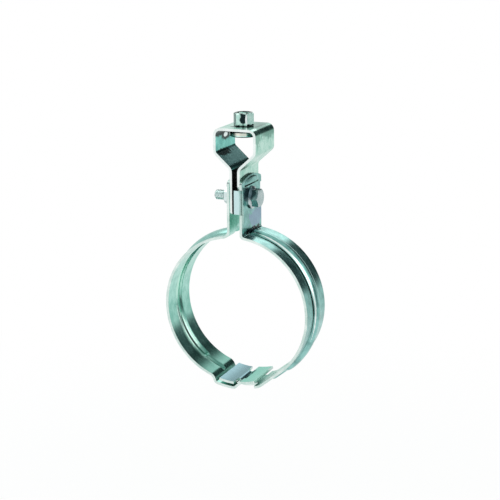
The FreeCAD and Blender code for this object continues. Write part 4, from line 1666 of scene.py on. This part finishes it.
@dataclass
class Studio:
    """Plain pale floor, soft lamps and the camera at the photograph's angle.

    The camera's angles are in degrees, its offset is the object's place in its own frame in
    millimetres, and its focal length is in pixels of the photograph. The floor's height is in
    millimetres and its radius in metres.
    """

    azimuth: float = 23.0
    elevation: float = 14.61
    roll: float = -0.36
    focal_px: float = 1400.0
    image_px: float = 500.0
    offset: Triple = (-3.89, -42.74, -1101.9)
    floor_height: float = -190.0
    floor_radius: float = 0.62
    floor_shade: float = 0.88
    room: Triple = (0.80, 0.87, 0.855)
    aim: Triple = (0.0, 0.0, 0.04)
    lamps: tuple[Lamp, ...] = (Lamp("left_box", (-1.3, -0.5, 0.6), 0.9, 2.0),
                               Lamp("top_box", (-0.5, 0.2, 1.2), 0.8, 3.0))
    # The pale cards light the top, the fronts and the ring's right flank. The dark ones give the
    # strip's edges, folds and undersides something to mirror, as the corners of a room do.
    cards: tuple[Card, ...] = (
        Card((-0.10, 0.89, 0.45), 5, 13, (1.8, 1.8, 1.8)),
        Card((0.33, 0.89, 0.28), 14, 21, (0.045, 0.065, 0.068)),
        Card((-0.38, -0.89, -0.25), 8, 18, (1.1, 1.1, 1.1)),
        Card((0.82, 0.00, 0.44), 14, 25, (2.1, 2.1, 2.1)),
        Card((0.86, 0.47, 0.08), 8, 18, (0.15, 0.18, 0.19)),
        Card((-0.38, -0.66, 0.65), 10, 26, (0.12, 0.16, 0.18)),
        Card((-0.89, -0.38, -0.25), 10, 24, (0.10, 0.12, 0.12)),
        Card((0.89, -0.38, -0.25), 10, 22, (0.10, 0.12, 0.12)),
        Card((-0.89, 0.38, -0.25), 10, 22, (0.10, 0.12, 0.12)),
    )

    def camera(self) -> None:
        """Create the camera and make it the scene's own."""
        a, e, roll = (math.radians(v) for v in (self.azimuth, self.elevation, self.roll))
        right = Vector((math.cos(a), math.sin(a), 0))
        back = Vector((math.sin(a) * math.cos(e), -math.cos(a) * math.cos(e), math.sin(e)))
        up = back.cross(right)
        turned_right = right * math.cos(roll) + up * math.sin(roll)
        turned_up = up * math.cos(roll) - right * math.sin(roll)
        turn = Matrix((turned_right, turned_up, back)).transposed()
        data = bpy.data.cameras.new("camera")
        data.sensor_width = 36.0
        data.lens = self.focal_px * data.sensor_width / self.image_px
        data.clip_end = 100.0
        camera = bpy.data.objects.new("camera", data)
        camera.matrix_world = Matrix.Translation(turn @ Vector(self.offset) * -MM) @ turn.to_4x4()
        bpy.context.scene.collection.objects.link(camera)
        bpy.context.scene.camera = camera

    def floor(self) -> None:
        """Lay the pale round floor, white to the camera apart from the object's shadow."""
        count = 96
        z = self.floor_height * MM
        mesh = bpy.data.meshes.new("floor")
        rim = [(self.floor_radius * math.cos(t), self.floor_radius * math.sin(t), z)
               for t in np.linspace(0, 2 * math.pi, count, endpoint=False)]
        mesh.from_pydata(rim, [], [tuple(range(count))])
        floor = bpy.data.objects.new("floor", mesh)
        bpy.context.scene.collection.objects.link(floor)
        material = bpy.data.materials.new("matt_white_board")
        material.use_nodes = True
        tree = material.node_tree
        shader = tree.nodes["Principled BSDF"]
        shader.inputs["Base Color"].default_value = linear("#f2f3f2")
        shader.inputs["Roughness"].default_value = 0.9
        light = add_node(tree, "ShaderNodeLightPath")
        glow = add_node(tree, "ShaderNodeEmission", {"Color": (1, 1, 1, 1), "Strength": 1.0})
        seen = add_node(tree, "ShaderNodeMath", {"operation": "MAXIMUM"},
                        {0: light.outputs["Is Camera Ray"], 1: light.outputs["Is Glossy Ray"]})
        seen = add_node(tree, "ShaderNodeMath", {"operation": "MAXIMUM"},
                        {0: seen.outputs["Value"], 1: light.outputs["Is Transmission Ray"]})
        # The board's own shade fades out towards its rim, so that the rim doesn't show.
        place = add_node(tree, "ShaderNodeTexCoord")
        far = add_node(tree, "ShaderNodeVectorMath", {"operation": "LENGTH"},
                       {0: place.outputs["Object"]})
        own = add_node(tree, "ShaderNodeMapRange",
                       {"interpolation_type": "SMOOTHSTEP", "From Min": 0.3 * self.floor_radius,
                        "From Max": self.floor_radius, "To Min": self.floor_shade,
                        "To Max": 1.0},
                       {"Value": far.outputs["Value"]})
        share = add_node(tree, "ShaderNodeMath", {"operation": "MULTIPLY"},
                         {0: seen.outputs["Value"], 1: own.outputs["Result"]})
        mix = add_node(tree, "ShaderNodeMixShader", {},
                       {0: share.outputs["Value"], 1: shader.outputs["BSDF"],
                        2: glow.outputs["Emission"]})
        tree.links.new(mix.outputs["Shader"], tree.nodes["Material Output"].inputs["Surface"])
        mesh.materials.append(material)

    def world(self) -> None:
        """Surround the object with a pale room, its soft cards and its dark corners."""
        world = bpy.data.worlds.new("studio")
        bpy.context.scene.world = world
        world.use_nodes = True
        tree = world.node_tree
        background = tree.nodes["Background"]
        light = add_node(tree, "ShaderNodeLightPath")
        place = add_node(tree, "ShaderNodeTexCoord")
        room = add_node(tree, "ShaderNodeRGB")
        room.outputs[0].default_value = (*self.room, 1)
        colour = room.outputs[0]
        for card in self.cards:
            colour = card.hang(tree, place.outputs["Generated"], colour)
        white = add_node(tree, "ShaderNodeMix", {"data_type": "RGBA", 7: (1, 1, 1, 1)},
                         {0: light.outputs["Is Camera Ray"], 6: colour})
        tree.links.new(white.outputs[2], background.inputs["Color"])
        background.inputs["Strength"].default_value = 1.0

    def build(self) -> None:
        """Set up the whole studio."""
        self.camera()
        self.floor()
        self.world()
        for lamp in self.lamps:
            lamp.hang(self.aim)
        bpy.context.scene.view_settings.view_transform = "Standard"


# The finishes.

# Every piece is low-carbon or spring steel under bright zinc with a blue-green passivated film.
# Eight micrometres of zinc keep the surface below them, so what tells one finish from another is
# how that surface was made, and how thick the film dried on it. Most patches on the finishes are
# painted shade and painted highlights, and their places and reaches are in millimetres.

STRIP = Grain.ALONG_STRIP
# Painted shade, near black, for folds, slits, gaps, creases and rims.
PAINTED_SHADE_BLACK = "#0b1313"
# Painted highlight, near white, for the lines beside the bead's crests.
PAINTED_HIGHLIGHT_WHITE = "#eef6f4"
# How far the painted highlight and shade lines beside the bead reach, on the upper part of the
# ring.
BEAD_LINE = (52, 0.8, 70)

# Cold-rolled strip, zinc plated. Outside it is pale: a soft, silky mirror with fine rolling marks
# along the strip. Painted shade darkens the top's right bend and the right wall's front, a painted
# shadow lies by the swivel nut, and painted shade blackens the leg behind the ear's slit.
STRAP_OUT = ZincPlating(
    "zinc_plated_rolled_strip_strap_outside", "#cdebdf", "#9dd0bf", 0.20, STRIP,
    wave_depth_mm=0.10,
    painted_light_and_stains=(PaintedLightAndStain("#4d8575", (13, 9, 142), (13, 25, 12), 0.7, 0.75),
            PaintedLightAndStain("#25544a", (15, 2, 143), (6, 13, 5), 0.7, 0.5),
            PaintedLightAndStain(PAINTED_SHADE_BLACK, (-5, -8.5, 142.3), (3.5, 2.5, 3), 0.6, 0.9),
            PaintedLightAndStain("#79ab9a", (17.4, -14, 137), (3, 6, 10), 1.2, 0.8),
            PaintedLightAndStain(PAINTED_SHADE_BLACK, (4.2, 0, 97.5), (1.2, 13.5, 1.4), 0.1)))
# The same strip inside the folds, in a deeper teal. Painted shade makes nearly black places in
# the corners, under the nut's flange and between the legs, with painted highlights across the
# inclines and on the left wall.
STRAP_IN = ZincPlating(
    "zinc_plated_rolled_strip_strap_inside", "#8bd8cd", "#64b2aa", 0.20, STRIP,
    painted_light_and_stains=(PaintedLightAndStain("#bdf6f2", (0, 0, 118.3), (60, 60, 6.8), 0.6),
            PaintedLightAndStain("#2c5f5b", (-4, 0, 111.8), (6, 60, 2.6), 0.3, 0.9),
            PaintedLightAndStain("#10292a", (-15.4, -7, 122.0), (7, 16, 3.4), 1.2, 0.95),
            PaintedLightAndStain("#0c1a1b", (-15.4, -12, 138.8), (3, 15, 4.6), 0.8, 0.95),
            PaintedLightAndStain("#0c1a1b", (-15.4, 1, 134.9), (3, 11, 5.2), 0.8, 0.95),
            PaintedLightAndStain("#f6fbfb", (-15.4, 0.6, 134.4), (3, 4.2, 2.0), 0.4),
            PaintedLightAndStain("#0a1010", (0, 0, 90), (8, 40, 25.5), 0.1, core=0.86)))
# Sheared edge of the strap, zinc plated. Zinc builds up on edges, and the near white is partly
# that and partly a painted highlight for the bright edge lines; the torn grain below the zinc
# makes it duller than the faces.
STRAP_CUT = ZincPlating("zinc_plated_sheared_edge_strap", "#f6faf9", "#e3eeeb", 0.30,
                        Grain.FORMED, mark_mm=0.3)
# Sheared edge of the band, a shade greener, nearly white partly as a painted highlight like the
# strap's edge, with painted shade black in the slit and dark below the ear's arch.
BAND_CUT = ZincPlating(
    "zinc_plated_sheared_edge_band", "#e4efeb", "#c4dbd4", 0.28, Grain.FORMED, mark_mm=0.3,
    painted_light_and_stains=(PaintedLightAndStain(PAINTED_SHADE_BLACK, (5.2, 0, 97.8), (1.4, 13.2, 1.4), 0.1),
            PaintedLightAndStain("#23443e", (5.2, -5, 104), (2.2, 20, 4.6), 1.0, 0.9)))
# Pressed strip of the hooked half, zinc plated. Outside it is a teal mirror, bluish on the lower
# ear. Painted highlights run beside the bead's crests and on the front lug, painted shade runs
# black in the bead's creases, a painted reflection of the bolt's head darkens the ear beside it,
# and painted shade darkens the hood and the bend at the ear's foot.
HOOK_OUT = ZincPlating(
    "zinc_plated_pressed_strip_hooked_outside", "#93c8c2", "#6fa09b", 0.20, STRIP,
    painted_light_and_stains=(PaintedLightAndStain(PAINTED_HIGHLIGHT_WHITE, (57, 4.9, 45), BEAD_LINE, 0.5, core=0.8),
            PaintedLightAndStain(PAINTED_HIGHLIGHT_WHITE, (57, -4.9, 45), BEAD_LINE, 0.5, core=0.8),
            PaintedLightAndStain(PAINTED_SHADE_BLACK, (57, 6.7, 45), BEAD_LINE, 0.2, core=0.85),
            PaintedLightAndStain(PAINTED_SHADE_BLACK, (57, -6.7, 45), BEAD_LINE, 0.2, core=0.85),
            PaintedLightAndStain("#8f9fbc", (6.2, 9, 70), (9, 17, 8), 2.0, 0.75),
            PaintedLightAndStain("#35545b", (6.2, -9, 90.5), (3, 7, 6.5), 0.8, 0.9),
            PaintedLightAndStain("#b4cfc9", (6.2, -20, 80), (9, 5, 20), 1.0, 0.9),
            PaintedLightAndStain("#27504c", (7, -9, 103.4), (4, 16, 3.6), 1.2, 0.55),
            PaintedLightAndStain("#c3dedf", (1.5, -19, 86), (4, 4, 14), 0.3),
            PaintedLightAndStain("#0e1c20", (7.2, 0, 61.2), (2.8, 30, 2.1), 1.8)))
# Its inside lay against the die's punch and is evener: a mint mirror, bluer by the ramp.
HOOK_IN = ZincPlating(
    "zinc_plated_pressed_strip_hooked_inside", "#a3cdbf", "#8bbfb1", 0.22, STRIP,
    painted_light_and_stains=(PaintedLightAndStain("#779da5", (-8, 0, -58), (12, 60, 9), 0.3),))
# Pressed strip of the slotted half, zinc plated. Outside it is the palest of the pressed faces.
SLOT_OUT = ZincPlating("zinc_plated_pressed_strip_slotted_outside", "#a5cfc6", "#8dbcb5", 0.20,
                       STRIP)
# Its inside shows the bead as a hollow, with a painted highlight on its floor, a painted shade
# line along its edge and a painted highlight over its upper part. Painted shade gives a deeper
# green by the recess, and the end tab is a clear mint.
SLOT_IN = ZincPlating(
    "zinc_plated_pressed_strip_slotted_inside", "#a8dccf", "#86c2b4", 0.20, STRIP,
    painted_light_and_stains=(PaintedLightAndStain("#d6f8ec", (-60, 0.5, -36), (46, 5.8, 30), 0.3, core=0.8),
            PaintedLightAndStain(PAINTED_SHADE_BLACK, (-60, 2.9, -40), (46, 0.9, 27), 0.2, 0.95, core=0.75),
            PaintedLightAndStain("#c8eee0", (-60, 0, 24), (20, 7, 36), 0.3, 0.7),
            PaintedLightAndStain("#4f8377", (-29, 0, -50), (24, 60, 16), 0.3, 0.8),
            PaintedLightAndStain("#84d0bd", (10, 0, -57), (8, 40, 5), 0.3)))
# Cold-formed steel of the bolt and the nut, zinc plated. It is greyer than the strip, with the
# drawn wire's marks along the axis, a painted highlight on the thread, a painted reflection on the
# head's upper facets and a painted shadow on the flange below the head.
FORMED = ZincPlating(
    "zinc_plated_cold_formed_steel", "#c9d0d2", "#a9bbbd", 0.24, Grain.ALONG_BOLT,
    painted_light_and_stains=(PaintedLightAndStain("#e6f4f2", (-17, 0, 86.8), (13, 10, 10), 0.3, 0.8),
            PaintedLightAndStain("#35525a", (8.2, -5.4, 91.4), (4.6, 7, 6), 0.7, 0.9),
            PaintedLightAndStain("#0d2427", (6.9, -7.4, 80.0), (1.4, 3.2, 3.2), 0.5, 0.9)))
# Turned steel of the swivel nut, zinc plated. It is the brightest mirror, with a black painted
# reflection and a painted highlight on one flat, painted shade round the thread's mouth, the neck
# and the flange, and a painted highlight on the flange's rim.
TURNED = ZincPlating(
    "zinc_plated_turned_steel", "#def6ee", "#b4e0d5", 0.2, Grain.FORMED,
    painted_light_and_stains=(PaintedLightAndStain("#1c2a2c", (2.6, -7, 148.8), (3.8, 4, 5.0), 1.0),
            PaintedLightAndStain("#f8fcfc", (5.0, -6.4, 147.5), (1.1, 1.1, 5.4), 0.2),
            PaintedLightAndStain(PAINTED_SHADE_BLACK, (0, 0, 152.7), (9, 9, 1.2), 1.4),
            PaintedLightAndStain(PAINTED_SHADE_BLACK, (0, 0, 142.3), (9, 9, 1.0), 0.5),
            PaintedLightAndStain("#10181a", (0, 0, 140.4), (30, 30, 4.2), 1.0),
            PaintedLightAndStain("#e6e4d8", (0, 0, 136.9), (30, 30, 1.3), 0.4),
            PaintedLightAndStain("#2a2c24", (0, 0, 134.2), (30, 30, 1.2), 0.2)))
# Coiled spring steel of the washer, zinc plated: plain grey-green and a little dull.
SPRING = ZincPlating("zinc_plated_spring_steel", "#c3d3d0", "#a0b8b5", 0.28, Grain.FORMED)


# Putting it together.


def dress(piece: bpy.types.Object, node: str, body: str,
          materials: Sequence[bpy.types.Material]) -> None:
    """Dress a piece and put it in its node's place.

    Args:
        piece: the new object.
        node: the solid that it stands for.
        body: the body that it rides on.
        materials: its finishes, in the order of the kinds of its faces.
    """
    for index, material in enumerate(materials):
        piece.data.materials[index] = material
    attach(piece, body)
    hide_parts(node)


def main() -> None:
    """Build every piece in order, dress it and report it."""
    logging.basicConfig(level=logging.INFO, format="%(message)s")
    Studio().build()
    pieces = (
        (TurnbuckleStrap(), "hanger", "zinc_strap", (STRAP_OUT, STRAP_IN, STRAP_CUT)),
        (HookedHalf(), "hanger", "zinc_hooked_half", (HOOK_OUT, HOOK_IN, BAND_CUT)),
        (SlottedHalf(), "hanger", "zinc_slotted_half", (SLOT_OUT, SLOT_IN, BAND_CUT)),
        (SwivelNut(), "swivel", "zinc_swivel_nut", (TURNED,)),
        (ClampBolt(), "hanger", "zinc_bolt", (FORMED,)),
        (SpringWasher(), "hanger", "zinc_washer", (SPRING,)),
        (ClampNut(), "nut", "zinc_nut", (FORMED,)),
    )
    made: dict[str, bpy.types.Material] = {}
    for maker, body, slot, finishes in pieces:
        for finish in finishes:
            if finish.name not in made:
                made[finish.name] = finish.material()
        piece = maker.build()
        dress(piece, maker.node, body, [made[finish.name] for finish in finishes])
        LOG.info("%s: %d faces, %s", piece.name, len(piece.data.polygons), finishes[0].name)


if __name__ == "__main__":
    main()
